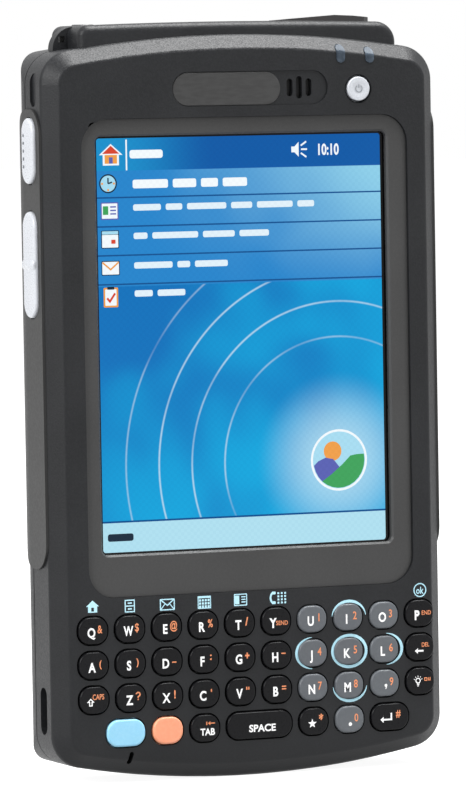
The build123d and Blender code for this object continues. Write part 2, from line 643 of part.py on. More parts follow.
def rear_housing(outer, cavity, grip_cuts):
    """The back shell with its battery bay, stylus silo, screw posts and side pockets."""
    shell = outer & block(-BODY_WIDTH, BODY_WIDTH, SEAM_DEPTH, BODY_DEPTH + 1, -1, BODY_HEIGHT + 1)
    shell = shell - cavity
    bay_walls, bay_hollow = battery_bay()
    silo = Pos(STYLUS_X, STYLUS_DEPTH) * Circle(SILO_RADIUS)
    silo = along_z(silo, STYLUS_LOW_Z - 2, MODULE_FLOOR_Z)
    web = block(
        STYLUS_X - SILO_WEB / 2,
        STYLUS_X + SILO_WEB / 2,
        STYLUS_DEPTH + STYLUS_RADIUS,
        BODY_DEPTH - WALL / 2,
        STYLUS_LOW_Z - 2,
        MODULE_FLOOR_Z,
    )
    posts = [rod(x, z, BOSS_RADIUS, BOSS_MEET_DEPTH, BODY_DEPTH - WALL / 2) for x, z in SCREWS]
    seat_near = BODY_DEPTH - SCREW_HEAD_SINK - SCREW_HEAD_THICK - SEAT_THICK
    posts += [rod(x, z, SEAT_RADIUS, seat_near, BODY_DEPTH - WALL / 2) for x, z in SCREWS]
    latch_low = LATCH_Z - LATCH_HEIGHT / 2 - LATCH_TRAVEL
    latch_high = LATCH_Z + LATCH_HEIGHT / 2
    latch_bed = block(
        -LATCH_WIDTH / 2 - WALL,
        LATCH_WIDTH / 2 + WALL,
        BODY_DEPTH - LATCH_THICK - LATCH_PLATE,
        BODY_DEPTH - WALL / 2,
        latch_low - WALL,
        latch_high + WALL,
    )
    shell = joined([shell, bay_walls, silo, web, latch_bed] + posts) & outer
    cuts = [bay_hollow, door_space(DOOR_GAP)]
    width = LATCH_WIDTH + 2 * DOOR_GAP
    height = latch_high - latch_low + 2 * DOOR_GAP
    latch_pocket = pad(0, (latch_low + latch_high) / 2, width, height, LATCH_CORNER + DOOR_GAP)
    cuts.append(along_depth(latch_pocket, BODY_DEPTH - LATCH_THICK, BODY_DEPTH + 1))
    width = LATCH_STEM_WIDTH + 2 * DOOR_GAP
    height = LATCH_STEM_HEIGHT + LATCH_TRAVEL + 2 * DOOR_GAP
    stem_slot = pad(0, LATCH_Z - LATCH_TRAVEL / 2, width, height, LATCH_STEM_CORNER + DOOR_GAP)
    cuts.append(along_depth(stem_slot, BODY_DEPTH - LATCH_THICK - LATCH_PLATE - 1, BODY_DEPTH))
    cuts.append(along_z(bore_face(SILO_GAP), STYLUS_LOW_Z - 1, BODY_HEIGHT + 1))
    head_near = BODY_DEPTH - SCREW_HEAD_SINK - SCREW_HEAD_THICK
    for x, z in SCREWS:
        cuts.append(rod(x, z, SCREW_RADIUS + MOVING_GAP, 0, BODY_DEPTH))
        cuts.append(rod(x, z, SCREW_HEAD_RADIUS + MOVING_GAP, head_near, BODY_DEPTH + 1))
    cuts.extend(side_button_holes(MOVING_GAP))
    recess_face = side_oblong(SIDE_RECESS_Z, SIDE_RECESS_LENGTH, SIDE_RECESS_WIDTH)
    cuts.append(along_x(recess_face, -BODY_WIDTH, -(HALF_WIDTH - SIDE_RECESS_DEPTH)))
    slot_face = side_oblong(CRADLE_SLOT_Z, CRADLE_SLOT_LENGTH, CRADLE_SLOT_WIDTH)
    for side in (-1, 1):
        ends = (side * (HALF_WIDTH - CRADLE_SLOT_DEPTH), side * BODY_WIDTH)
        cuts.append(along_x(slot_face, min(ends), max(ends)))
    dock = DOCK_WIDTH / 2 + FIT_GAP
    dock_near = DOCK_MID_DEPTH - DOCK_DEPTH / 2 - FIT_GAP
    dock_far = dock_near + DOCK_DEPTH + 2 * FIT_GAP
    cuts.append(block(-dock, dock, dock_near, dock_far, -1, DOCK_SINK + DOCK_HEIGHT))
    cuts.append(module_envelope(FIT_GAP))
    return shell - cuts - grip_cuts


def cover_line(outer):
    """A shallow line round the sides where the back cover meets the band."""
    skin = outer - body(-SEAM_GROOVE, 0)
    groove_far = COVER_LINE_DEPTH + SEAM_GROOVE
    return skin & block(-BODY_WIDTH, BODY_WIDTH, COVER_LINE_DEPTH, groove_far, -1, BODY_HEIGHT)


# ---- Display stack ----
def display_bezel():
    """The inset plate round the screen, with a sloped lip at its opening."""
    plate = along_depth(window_face(-FIT_GAP), WINDOW_STEP, BEZEL_BACK)
    opening = pad(DISPLAY_X, DISPLAY_Z, OPENING_WIDTH, OPENING_HEIGHT, OPENING_CORNER)
    plate = plate - along_depth(opening, 0, BEZEL_BACK + 1)
    front = [e for e in plate.edges() if abs(e.center().Y - WINDOW_STEP) < 0.01]
    inner = [e for e in front if abs(e.center().X - DISPLAY_X) < OPENING_WIDTH / 2 + 0.1]
    inner = [e for e in inner if abs(e.center().Z - DISPLAY_Z) < OPENING_HEIGHT / 2 + 0.1]
    return chamfer(inner, BEZEL_LIP)


def touch_panel():
    """Glass touch panel under the bezel."""
    return along_depth(touch_face(), TOUCH_DEPTH, TOUCH_DEPTH + TOUCH_THICK)


def lcd_module():
    """Display panel with its light guide and metal can."""
    face = pad(DISPLAY_X, DISPLAY_Z - LCD_DROP, LCD_WIDTH, LCD_HEIGHT, TOUCH_CORNER)
    can = along_depth(face, LCD_DEPTH, LCD_DEPTH + LCD_THICK)
    back = can.faces().sort_by(Axis.Y)[-1]
    return chamfer(back.edges(), 0.4)


def main_board():
    """Logic board behind the display, keyboard board below it, joined by a stacking connector."""
    logic = Pos(0, (LOGIC_BOARD_LOW_Z + LOGIC_BOARD_HIGH_Z) / 2)
    logic = logic * Rectangle(LOGIC_BOARD_WIDTH, LOGIC_BOARD_HIGH_Z - LOGIC_BOARD_LOW_Z)
    logic = along_depth(logic, LOGIC_BOARD_DEPTH, LOGIC_BOARD_DEPTH + BOARD_THICK)
    field = Pos(0, (LOGIC_BOARD_LOW_Z + MIC_Z) / 2) * Rectangle(BODY_WIDTH, LOGIC_BOARD_LOW_Z - MIC_Z)
    keys = body_outline(-BOARD_EDGE) & field
    keys = along_depth(keys, KEY_BOARD_DEPTH, KEY_BOARD_DEPTH + BOARD_THICK)
    behind = LOGIC_BOARD_DEPTH + BOARD_THICK
    half_bridge = BRIDGE_WIDTH / 2
    bridge_low = LOGIC_BOARD_LOW_Z - BOARD_JOIN
    bridge_high = LOGIC_BOARD_LOW_Z + BOARD_JOIN
    bridge = block(-half_bridge, half_bridge, KEY_BOARD_DEPTH, behind, bridge_low, LOGIC_BOARD_LOW_Z)
    lap = block(-half_bridge, half_bridge, LOGIC_BOARD_DEPTH, behind, LOGIC_BOARD_LOW_Z, bridge_high)
    pieces = [logic, keys, bridge + lap]
    for x, z, width, height in CHIPS:
        pieces.append(along_depth(pad(x, z, width, height, 0.6), behind - 0.1, behind + CHIP_HEIGHT))
    left = SKIRT_BACK_X + SCAN_TRAVEL + KEY_DOME_GAP
    half = SWITCH_LENGTH / 2
    far = behind + CHIP_HEIGHT
    for z in (SCAN_BUTTON_Z, ROCKER_Z + ROCKER_LENGTH / 4, ROCKER_Z - ROCKER_LENGTH / 4):
        pieces.append(block(left, left + SWITCH_REACH, LOGIC_BOARD_DEPTH, far, z - half, z + half))
    tongue_low = LOGIC_BOARD_HIGH_Z - BOARD_JOIN
    tongue_high = POWER_Z + TONGUE_WIDTH / 4
    half = TONGUE_WIDTH / 2
    pieces.append(block(POWER_X - half, POWER_X + half, LOGIC_BOARD_DEPTH, behind, tongue_low, tongue_high))
    pieces.append(rod(POWER_X, POWER_Z, POWER_RADIUS, KEY_BACK + POWER_TRAVEL + KEY_DOME_GAP, behind))
    cuts = [rod(x, z, BOSS_RADIUS + MOVING_GAP, 0, BODY_DEPTH) for x, z in SCREWS]
    return joined(pieces) - cuts


# ---- Buttons ----
def power_button():
    """Round button with a dished top and a flange behind the wall."""
    button = rod(POWER_X, POWER_Z, POWER_RADIUS, -POWER_PROUD, KEY_BACK)
    top = button.faces().sort_by(Axis.Y)[0]
    button = fillet(top.edges(), POWER_PROUD / 2)
    button = button + rod(POWER_X, POWER_Z, POWER_RADIUS + POWER_FLANGE, FLANGE_DEPTH, KEY_BACK)
    bowl = Sphere(POWER_BOWL_RADIUS)
    return button - Pos(POWER_X, -POWER_PROUD - POWER_BOWL_RADIUS + POWER_BOWL_DEPTH, POWER_Z) * bowl


def scan_button():
    """The upper side button."""
    cap = side_pill(SCAN_BUTTON_Z, SCAN_BUTTON_LENGTH, SCAN_BUTTON_WIDTH, BUTTON_FACE_X, SKIRT_BACK_X)
    cap = fillet(cap.faces().sort_by(Axis.X)[0].edges(), 0.5)
    skirt = side_pill(
        SCAN_BUTTON_Z,
        SCAN_BUTTON_LENGTH + SIDE_BUTTON_SKIRT,
        SCAN_BUTTON_WIDTH + SIDE_BUTTON_SKIRT,
        SKIRT_X,
        SKIRT_BACK_X,
    )
    return cap + skirt


def rocker_button():
    """The long side rocker with a ridge across its middle."""
    cap = side_pill(ROCKER_Z, ROCKER_LENGTH, ROCKER_WIDTH, BUTTON_FACE_X, SKIRT_BACK_X)
    cap = fillet(cap.faces().sort_by(Axis.X)[0].edges(), 0.5)
    ridge_face = Pos(BUTTON_FACE_X + RIDGE_SEAT, ROCKER_Z)
    ridge_face = ridge_face * SlotOverall(2 * (ROCKER_RIDGE + RIDGE_SEAT), ROCKER_RIDGE_WIDTH / 2)
    half = ROCKER_WIDTH / 2 - RIDGE_INSET
    ridge = along_depth(ridge_face, SIDE_BUTTON_DEPTH - half, SIDE_BUTTON_DEPTH + half)
    skirt = side_pill(
        ROCKER_Z,
        ROCKER_SKIRT_LENGTH,
        ROCKER_WIDTH + SIDE_BUTTON_SKIRT,
        SKIRT_X,
        SKIRT_BACK_X,
    )
    return cap + ridge + skirt


def light_pipe_faces(gap=0.0):
    """Outlines of the two light pipes, or of their holes."""
    faces = []
    for beside, drop, height in LIGHT_PIPES:
        width = LIGHT_PIPE_WIDTH + 2 * gap
        faces.append(pad(POWER_X + beside, BODY_HEIGHT - drop, width, height + 2 * gap, width / 2))
    return faces


def light_pipes():
    """Two clear pipes set flush in the top front edge."""
    skin = skin_form(LIGHT_PIPE_PROUD)
    pipes = [along_depth(face, -1, LIGHT_PIPE_DEPTH) & skin for face in light_pipe_faces()]
    return [pipe - module_envelope(FIT_GAP) for pipe in pipes]


def speaker():
    """Small round receiver behind the slots."""
    can = rod(SLOT_X, PILL_Z - SPEAKER_DROP, SPEAKER_RADIUS, WALL + GLUE_GAP, WALL + SPEAKER_THICK)
    back = can.faces().sort_by(Axis.Y)[-1]
    return chamfer(back.edges(), 0.4)


# ---- Scanner module ----
def module_outline(inset=0.0):
    """Front view of the raised block, with rounded shoulders."""
    left, right = MODULE_LEFT + inset, MODULE_RIGHT - inset
    outline = flat_box(left, right, MODULE_FLOOR_Z + inset, MODULE_TOP_Z)
    dome = Circle(MODULE_TOP_RADIUS - inset)
    outline = outline & Pos((left + right) / 2, MODULE_TOP_Z - MODULE_TOP_RADIUS) * dome
    for end, radius in ((left, MODULE_LEFT_SHOULDER), (right, MODULE_RIGHT_SHOULDER)):
        high = [v for v in outline.vertices() if v.Y > MODULE_FLOOR_Z + inset + 1]
        outline = fillet([v for v in high if abs(v.X - end) < 0.01], radius - inset)
    return outline


def scanner_cover():
    """The raised block on the top end, open below, with a tether lug at its left shoulder."""
    shell = along_depth(module_outline(), MODULE_FRONT_DEPTH, MODULE_BACK_DEPTH)
    rims = []
    for edge in shell.edges():
        box = edge.bounding_box()
        if box.size.Y < 0.01 and box.max.Z > MODULE_FLOOR_Z + 0.5:
            rims.append(edge)
    shell = fillet(rims, MODULE_EDGE_RADIUS)
    near = MODULE_FRONT_DEPTH + MODULE_WALL
    far = MODULE_BACK_DEPTH - MODULE_WALL
    left = MODULE_LEFT + MODULE_WALL
    right = MODULE_RIGHT - MODULE_WALL
    hollow = along_depth(module_outline(MODULE_WALL), near, far)
    floor = block(left, right, near, far, MODULE_FLOOR_Z - 1, MODULE_FLOOR_Z + MODULE_WALL + 1)
    shell = shell - hollow - floor
    crown, shoulder = ((MODULE_LEFT + along, MODULE_TOP_Z - drop) for along, drop in LUG_CREST)
    foot = (MODULE_LEFT - LUG_REACH, MODULE_TOP_Z - LUG_DROP)
    base = (MODULE_LEFT - LUG_REACH, MODULE_FLOOR_Z + WALL)
    root = (crown[0], base[1])
    rim = ThreePointArc(crown, shoulder, foot)
    slope = make_face([rim, Line(foot, base), Line(base, root), Line(root, crown)])
    lug = along_depth(slope, LUG_DEPTH, LUG_DEPTH + LUG_THICK) - hollow
    hole = Pos(LUG_HOLE_X, LUG_HOLE_Z) * Rectangle(LUG_HOLE, LUG_HOLE)
    lug = lug - along_depth(hole, 0, BODY_DEPTH)
    lug = lug - body(FIT_GAP, 0)
    bore = along_z(bore_face(SILO_GAP), MODULE_FLOOR_Z - 1, MODULE_TOP_Z + 2)
    return shell + lug - [scan_window_hole(FIT_GAP), bore]


def scan_window_hole(gap):
    """The opening in the module's top that the window drops into."""
    middle = (SCAN_WINDOW_FRONT + SCAN_WINDOW_BACK) / 2
    face = Pos(SCAN_WINDOW_X, middle) * RectangleRounded(
        SCAN_WINDOW_WIDTH + 2 * gap, SCAN_WINDOW_BACK - SCAN_WINDOW_FRONT + 2 * gap, 1.2
    )
    return along_z(face, MODULE_TOP_Z - MODULE_WALL - 1, MODULE_TOP_Z + ROOM)


def scan_window():
    """Dark exit window, with a low wedge-shaped hood along its front."""
    low = MODULE_TOP_Z - MODULE_WALL
    plate = scan_window_hole(0) & block(-BODY_WIDTH, BODY_WIDTH, 0, BODY_DEPTH, low, low + SCAN_WINDOW_THICK)
    left = SCAN_WINDOW_X - SCAN_WINDOW_WIDTH / 2
    right = SCAN_WINDOW_X + SCAN_WINDOW_WIDTH / 2
    crest = [(left + along * SCAN_WINDOW_WIDTH, MODULE_TOP_Z + up * HOOD_RISE) for along, up in HOOD_CREST]
    wedge = Polygon((left, low), (right, low), *reversed(crest), align=None)
    hood = along_depth(wedge, SCAN_WINDOW_FRONT, SCAN_WINDOW_FRONT + HOOD_THICK) & scan_window_hole(0)
    return plate + hood


def scan_engine():
    """Scan engine under the window, aimed upwards."""
    left, right = (SCAN_WINDOW_X + side * ENGINE_WIDTH / 2 for side in (-1, 1))
    front = ENGINE_BACK - ENGINE_DEPTH
    box = block(left, right, front, ENGINE_BACK, ENGINE_HIGH_Z - ENGINE_HEIGHT, ENGINE_HIGH_Z)
    box = chamfer(box.faces().sort_by(Axis.Z)[-1].edges(), 0.4)
    lens = Pos(SCAN_WINDOW_X - ENGINE_WIDTH / 5, front + ENGINE_DEPTH / 2) * Circle(ENGINE_LENS_RADIUS)
    return box + along_z(lens, ENGINE_HIGH_Z - 1, ENGINE_HIGH_Z + ENGINE_LENS_RISE)


# ---- Battery side ----
def battery_pack():
    """Flat battery in its bay."""
    face = pad(0, BATTERY_Z, BATTERY_WIDTH, BATTERY_HEIGHT, BATTERY_CORNER)
    pack = along_depth(face, BAY_DEPTH + BAY_GAP, DOOR_DEPTH - BAY_GAP)
    return fillet(pack.faces().sort_by(Axis.Y)[-1].edges(), 0.8)


def battery_door():
    """Door flush with the back, hinged on its upper edge."""
    door = door_space(0)
    grip_grooves = []
    for i in range(LATCH_RIBS):
        z = DOOR_LOW_Z + DOOR_CORNER + i * RIB_PITCH
        face = pad(0, z, LATCH_WIDTH, RIB_WIDTH, RIB_WIDTH / 2)
        grip_grooves.append(along_depth(face, BODY_DEPTH - RIB_DEPTH, BODY_DEPTH + 1))
    return door - grip_grooves


def battery_latch():
    """Sliding latch below the door, held in by a plate behind its slot."""
    face = pad(0, LATCH_Z, LATCH_WIDTH, LATCH_HEIGHT, LATCH_CORNER)
    slider = along_depth(face, BODY_DEPTH - LATCH_THICK + FIT_GAP, BODY_DEPTH)
    ribs = []
    for i in range(LATCH_RIBS):
        z = LATCH_Z + (i - (LATCH_RIBS - 1) / 2) * RIB_PITCH
        face = pad(0, z, LATCH_WIDTH - 4 * RIB_WIDTH, RIB_WIDTH, RIB_WIDTH / 2)
        ribs.append(along_depth(face, BODY_DEPTH - RIB_DEPTH, BODY_DEPTH + 1))
    plate_depth = BODY_DEPTH - LATCH_THICK - LATCH_PLATE - FIT_GAP
    stem = pad(0, LATCH_Z, LATCH_STEM_WIDTH, LATCH_STEM_HEIGHT, LATCH_STEM_CORNER)
    stem = along_depth(stem, plate_depth - LATCH_PLATE_THICK / 2, BODY_DEPTH - LATCH_THICK / 2)
    width = LATCH_STEM_WIDTH + LATCH_FOOT
    plate = pad(0, LATCH_Z, width, LATCH_STEM_HEIGHT + LATCH_FOOT / 2, LATCH_STEM_CORNER)
    plate = along_depth(plate, plate_depth - LATCH_PLATE_THICK, plate_depth)
    return slider + stem + plate - ribs


# ---- Stylus ----
def stylus():
    """Slim pen with a wider cap, tip down in its silo."""
    high = MODULE_TOP_Z - STYLUS_CAP_DROP
    cap_low = high - STYLUS_CAP_LENGTH
    tip = Polygon(
        (0, STYLUS_LOW_Z),
        (STYLUS_TIP_RADIUS, STYLUS_LOW_Z),
        (STYLUS_BARREL_RADIUS, STYLUS_LOW_Z + STYLUS_TIP_LENGTH),
        (STYLUS_BARREL_RADIUS, cap_low),
        (STYLUS_RADIUS, cap_low + 0.4),
        (STYLUS_RADIUS, high - STYLUS_CAP_EDGE),
        (STYLUS_RADIUS - STYLUS_CAP_EDGE, high),
        (0, high),
        align=None,
    )
    return Pos(STYLUS_X, STYLUS_DEPTH, 0) * revolve(Plane.XZ * tip, Axis.Z)


# ---- Fasteners and dock ----
def housing_screws():
    """Four cross-head screws from the back into the front housing's posts."""
    screws = []
    head_near = BODY_DEPTH - SCREW_HEAD_SINK - SCREW_HEAD_THICK
    for x, z in SCREWS:
        head = rod(x, z, SCREW_HEAD_RADIUS, head_near, head_near + SCREW_HEAD_THICK)
        head = fillet(head.faces().sort_by(Axis.Y)[-1].edges(), 0.4)
        shaft = rod(x, z, SCREW_RADIUS, PILOT_DEPTH + 0.4, head_near + 0.1)
        drive_depth = head_near + SCREW_HEAD_THICK - 0.6
        cross = Rectangle(SCREW_HEAD_RADIUS * 1.2, 0.45) + Rectangle(0.45, SCREW_HEAD_RADIUS * 1.2)
        screws.append(head + shaft - along_depth(Pos(x, z) * cross, drive_depth, BODY_DEPTH + 1))
    return screws


def dock_connector():
    """Docking connector in the foot: a shell, a tongue and a row of contacts."""
    half = DOCK_WIDTH / 2
    near = DOCK_MID_DEPTH - DOCK_DEPTH / 2
    far = near + DOCK_DEPTH
    high = DOCK_SINK + DOCK_HEIGHT - FIT_GAP
    shell = block(-half, half, near, far, DOCK_SINK, high)
    inner = half - DOCK_SHELL
    mouth = block(-inner, inner, near + DOCK_SHELL, far - DOCK_SHELL, 0, high - 2 * DOCK_SHELL)
    inner = half - 2 * DOCK_SHELL
    near = DOCK_MID_DEPTH - DOCK_TONGUE / 2
    far = DOCK_MID_DEPTH + DOCK_TONGUE / 2
    tongue = block(-inner, inner, near, far, DOCK_SINK + DOCK_SHELL / 2, high - DOCK_SHELL)
    contacts = []
    for i in range(DOCK_CONTACTS):
        x = (i - (DOCK_CONTACTS - 1) / 2) * DOCK_CONTACT_PITCH
        half = DOCK_CONTACT_WIDTH / 2
        ends = (near - DOCK_CONTACT_RISE, far + DOCK_CONTACT_RISE)
        contacts.append(block(x - half, x + half, *ends, DOCK_SINK + DOCK_SHELL, high - DOCK_SHELL))
    return joined([shell - mouth, tongue] + contacts)


# ---- Everything by name ----
def build():
    """All nodes, each a solid or a list of solids."""
    outer = skin_form()
    cavity = body(-WALL, INNER_BEVEL)
    cuts = [grip_band(side, FIT_GAP) for side in (-1, 1)]
    left, right = (grip_band(side) for side in (-1, 1))
    nodes = {
        "front_housing": front_housing(outer, cavity, cuts),
        "rear_housing": rear_housing(outer, cavity, cuts) - cover_line(outer),
        "left_grip": left - side_button_holes(MOVING_GAP),
        "right_grip": right,
        "display_bezel": display_bezel(),
        "touch_panel": touch_panel(),
        "lcd_module": lcd_module(),
        "main_board": main_board(),
        "keypad_sheet": keypad_sheet(),
        "power_button": power_button(),
        "scan_button": scan_button(),
        "rocker_button": rocker_button(),
        "status_light_pipes": light_pipes(),
        "speaker": speaker(),
        "scanner_cover": scanner_cover(),
        "scan_window": scan_window(),
        "scan_engine": scan_engine(),
        "battery_pack": battery_pack(),
        "battery_door": battery_door(),
        "battery_latch": battery_latch(),
        "stylus": stylus(),
        "housing_screws": housing_screws(),
        "dock_connector": dock_connector(),
    }
    for name, x, z, width in key_places():
        nodes[f"key_{name}"] = key(x, z, width)
    return nodes


def solids_of(shape):
    """The separate solids in a shape or a list of shapes, in the part's own frame."""
    shapes = shape if isinstance(shape, list) else [shape]
    found = []
    for item in shapes:
        found.extend(item.solids())
    return [Pos(0, -MID_DEPTH, 0) * solid for solid in found]


os.makedirs("parts", exist_ok=True)
for node, shape in build().items():
    solids = solids_of(shape)
    result = solids[0] if len(solids) == 1 else Compound(children=solids)
    export_step(result, f"parts/{node}.step")
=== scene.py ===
from math import cos, pi, radians, sin

import bpy
from mathutils import Matrix, Vector
from mathutils.geometry import tessellate_polygon


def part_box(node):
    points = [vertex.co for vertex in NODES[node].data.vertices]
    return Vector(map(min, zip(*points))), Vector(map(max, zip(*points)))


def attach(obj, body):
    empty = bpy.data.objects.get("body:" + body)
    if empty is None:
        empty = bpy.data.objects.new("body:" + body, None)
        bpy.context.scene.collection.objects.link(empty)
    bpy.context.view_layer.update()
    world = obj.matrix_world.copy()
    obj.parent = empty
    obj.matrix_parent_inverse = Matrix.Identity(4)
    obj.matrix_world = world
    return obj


bl_info = {
    "name": "Barcode Data Terminal",
    "version": (1, 0, 0),
    "blender": (4, 5, 0),
    "location": "3D View > Sidebar > Terminal",
    "description": "Finishes, prints, screen picture and studio of a handheld barcode data terminal",
    "category": "Object",
}

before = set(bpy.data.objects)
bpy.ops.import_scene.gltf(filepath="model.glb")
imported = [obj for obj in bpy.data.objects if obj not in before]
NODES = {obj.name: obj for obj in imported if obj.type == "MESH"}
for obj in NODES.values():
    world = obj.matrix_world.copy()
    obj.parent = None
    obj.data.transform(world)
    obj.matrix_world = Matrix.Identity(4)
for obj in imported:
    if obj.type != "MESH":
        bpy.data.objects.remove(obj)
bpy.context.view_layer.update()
MM = 0.001

FACE_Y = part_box("front_housing")[0].y
GLASS_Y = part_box("touch_panel")[0].y
BARE_KEYS = ("key_blue", "key_orange")
GRAY_KEYS = ("u", "i", "o", "j", "k", "l", "n", "m", "comma", "period")

# Height of a capital in the built-in typeface, as a share of its size.
CAPITAL_HEIGHT = 0.729
# Distance by which a printed part lies in front of the one before it.
HAIR = 0.0015 * MM
# Least room that keeps two points of an outline apart, in mm.
APART = 0.001
# The panel's dots are 0.22 mm apart. The raster is drawn coarser so that it shows.
RASTER = 0.6 * MM
# Place of the motif on the screen, in mm across and up.
MOTIF = (17.65, 54.6)


# ---- Small helpers ----------------------------------------------------------------------------


def linear(code, alpha=1.0):
    """Turn an sRGB hex colour into the linear values that shaders take."""
    parts = [int(code[i:i + 2], 16) / 255 for i in (1, 3, 5)]
    return tuple(p / 12.92 if p <= 0.04045 else ((p + 0.055) / 1.055) ** 2.4 for p in parts) + (alpha,)


def add_node(tree, kind, inputs=None, **settings):
    """Add a node with its settings, and give each named input a value or a link."""
    made = tree.nodes.new(kind)
    for name, value in settings.items():
        setattr(made, name, value)
    for key, value in (inputs or {}).items():
        if isinstance(value, bpy.types.NodeSocket):
            tree.links.new(value, made.inputs[key])
        else:
            made.inputs[key].default_value = value
    return made


def new_material(name):
    """An empty node material and its tree."""
    material = bpy.data.materials.new(name)
    material.use_nodes = True
    material.node_tree.nodes.clear()
    return material, material.node_tree


def close_material(tree, inputs):
    """Put the surface shader and the output at the end of a material's tree."""
    shader = add_node(tree, "ShaderNodeBsdfPrincipled", inputs)
    add_node(tree, "ShaderNodeOutputMaterial", {"Surface": shader.outputs[0]})


def blend(tree, share, low, high):
    """The colour between two others, by a share from 0 to 1."""
    mixed = add_node(tree, "ShaderNodeMix", {0: share, 6: low, 7: high}, data_type="RGBA")
    return mixed.outputs[2]


def band(tree, value, start, end, low=0.0, high=1.0):
    """A value carried from one range to another, with soft ends."""
    return add_node(tree, "ShaderNodeMapRange", {
        0: value, 1: start, 2: end, 3: low, 4: high,
    }, interpolation_type="SMOOTHSTEP").outputs[0]


def sum_of(tree, operation, first, second=0.0):
    """One sum on one or two values."""
    return add_node(tree, "ShaderNodeMath", {0: first, 1: second}, operation=operation).outputs[0]


def moulded(name, low, high, grain, depth, rough, shader=None, drift=14.0):
    """A moulded, sprayed or printed surface.

    Two close colours are mixed by a slow drift and by a fine grain, and the same grain is in the
    roughness and in the relief. Grain, depth and drift are in millimetres."""
    material, tree = new_material(name)
    place = add_node(tree, "ShaderNodeTexCoord").outputs["Object"]
    fine, slow = (
        add_node(tree, "ShaderNodeTexNoise", {
            "Vector": place, "Scale": 1 / (size * MM), "Detail": detail,
        }).outputs[0] for size, detail in ((grain, 2.0), (drift, 1.0))
    )
    share = sum_of(tree, "ADD", band(tree, fine, 0.35, 0.7, 0.0, 0.5), band(tree, slow, 0.3, 0.7, 0.0, 0.5))
    relief = add_node(tree, "ShaderNodeBump", {"Height": fine, "Strength": 1.0, "Distance": depth * MM})
    inputs = {
        "Base Color": blend(tree, share, linear(low), linear(high)),
        "Roughness": band(tree, fine, 0.3, 0.7, rough[0], rough[1]),
        "Normal": relief.outputs[0],
    }
    inputs.update(shader or {})
    close_material(tree, inputs)
    return material


def dress(nodes, material):
    """Give CAD nodes a finish."""
    for name in nodes:
        slots = NODES[name].material_slots
        if not slots:
            raise RuntimeError(f"{name} has no material slot")
        for slot in slots:
            slot.material = material


# ---- Flat shapes: each part is (points, faces) in a plane, x to the right and y up, in mm -------


def ring_points(width, height, corner, steps=6):
    """The outline of a rectangle with round corners, about its middle."""
    points = []
    for turn, (sx, sy) in enumerate(((1, 1), (-1, 1), (-1, -1), (1, -1))):
        for i in range(steps + 1):
            angle = pi / 2 * (turn + i / steps)
            points.append((
                sx * (width / 2 - corner) + corner * cos(angle),
                sy * (height / 2 - corner) + corner * sin(angle),
            ))
    return points


def filled(*loops):
    """A filled part, from an outline and the holes in it."""
    points = [p for loop in loops for p in loop]
    faces = tessellate_polygon([[Vector((p[0], p[1], 0)) for p in loop] for loop in loops])
    turned = []
    for a, b, c in faces:
        pa, pb, pc = points[a], points[b], points[c]
        area = (pb[0] - pa[0]) * (pc[1] - pa[1]) - (pb[1] - pa[1]) * (pc[0] - pa[0])
        turned.append((a, b, c) if area > 0 else (a, c, b))
    return points, turned


def plate(width, height, corner=0.1):
    """A filled rectangle with round corners."""
    return filled(ring_points(width, height, min(corner, width / 2 - APART, height / 2 - APART)))


def outline(width, height, corner, line):
    """The band round a rectangle with round corners."""
    inner = ring_points(width - 2 * line, height - 2 * line, max(corner - line, 0.02))
    return filled(ring_points(width, height, corner), inner)


def disc(radius, steps=28):
    """A filled circle."""
    turns = [2 * pi * i / steps for i in range(steps)]
    return filled([(radius * cos(turn), radius * sin(turn)) for turn in turns])


def annulus(radius, line, steps=36):
    """A ring."""
    turns = [(cos(2 * pi * i / steps), sin(2 * pi * i / steps)) for i in range(steps)]
    return filled([(radius * c, radius * s) for c, s in turns],
                  [((radius - line) * c, (radius - line) * s) for c, s in turns])


def stroke(points, line):
    """A line of one width through points."""
    corners = [Vector(p) for p in points]
    sides = ([], [])
    for i, here in enumerate(corners):
        before = (here - corners[i - 1]).normalized() if i else None
        after = (corners[i + 1] - here).normalized() if i + 1 < len(corners) else None
        way = (before or after) if before is None or after is None else (before + after).normalized()
        side = Vector((-way.y, way.x))
        if before is not None and after is not None:
            side = side / max(0.4, abs(side.dot(Vector((-after.y, after.x)))))
        sides[0].append(here + side * line / 2)
        sides[1].append(here - side * line / 2)
    count = len(corners)
    points = [tuple(p) for p in sides[1]] + [tuple(p) for p in sides[0]]
    faces = [(i, i + 1, count + i + 1, count + i) for i in range(count - 1)]
    return points, faces


def moved(part, dx, dy):
    """A part moved in its plane."""
    points, faces = part
    return [(x + dx, y + dy) for x, y in points], faces


def bar(width, height, x, y, corner=0.1):
    """A filled rectangle with round corners, with its middle at a place."""
    return moved(plate(width, height, corner), x, y)


def arc_points(radius, start, step, count):
    """Points on an arc about the origin, by degrees."""
    turns = [radians(start + step * i) for i in range(count)]
    return [(radius * cos(turn), radius * sin(turn)) for turn in turns]


def lettering(words, height, squeeze=0.86, weight=0.012):
    """Words in capitals of a given height, with their middle at the origin."""
    curve = bpy.data.curves.new("lettering", "FONT")
    curve.body = words
    curve.offset = weight
    curve.resolution_u = 4
    holder = bpy.data.objects.new("lettering", curve)
    bpy.context.scene.collection.objects.link(holder)
    bpy.context.view_layer.update()
    mesh = bpy.data.meshes.new_from_object(holder.evaluated_get(bpy.context.evaluated_depsgraph_get()))
    flat = [(v.co.x, v.co.y) for v in mesh.vertices]
    faces = [tuple(p.vertices) for p in mesh.polygons]
    bpy.data.objects.remove(holder)
    bpy.data.curves.remove(curve)
    bpy.data.meshes.remove(mesh)
    if not flat:
        raise RuntimeError(f"no shape for {words!r}")
    scale = height / CAPITAL_HEIGHT
    middle = (min(x for x, y in flat) + max(x for x, y in flat)) / 2
    return [((x - middle) * scale * squeeze, y * scale - height / 2) for x, y in flat], faces


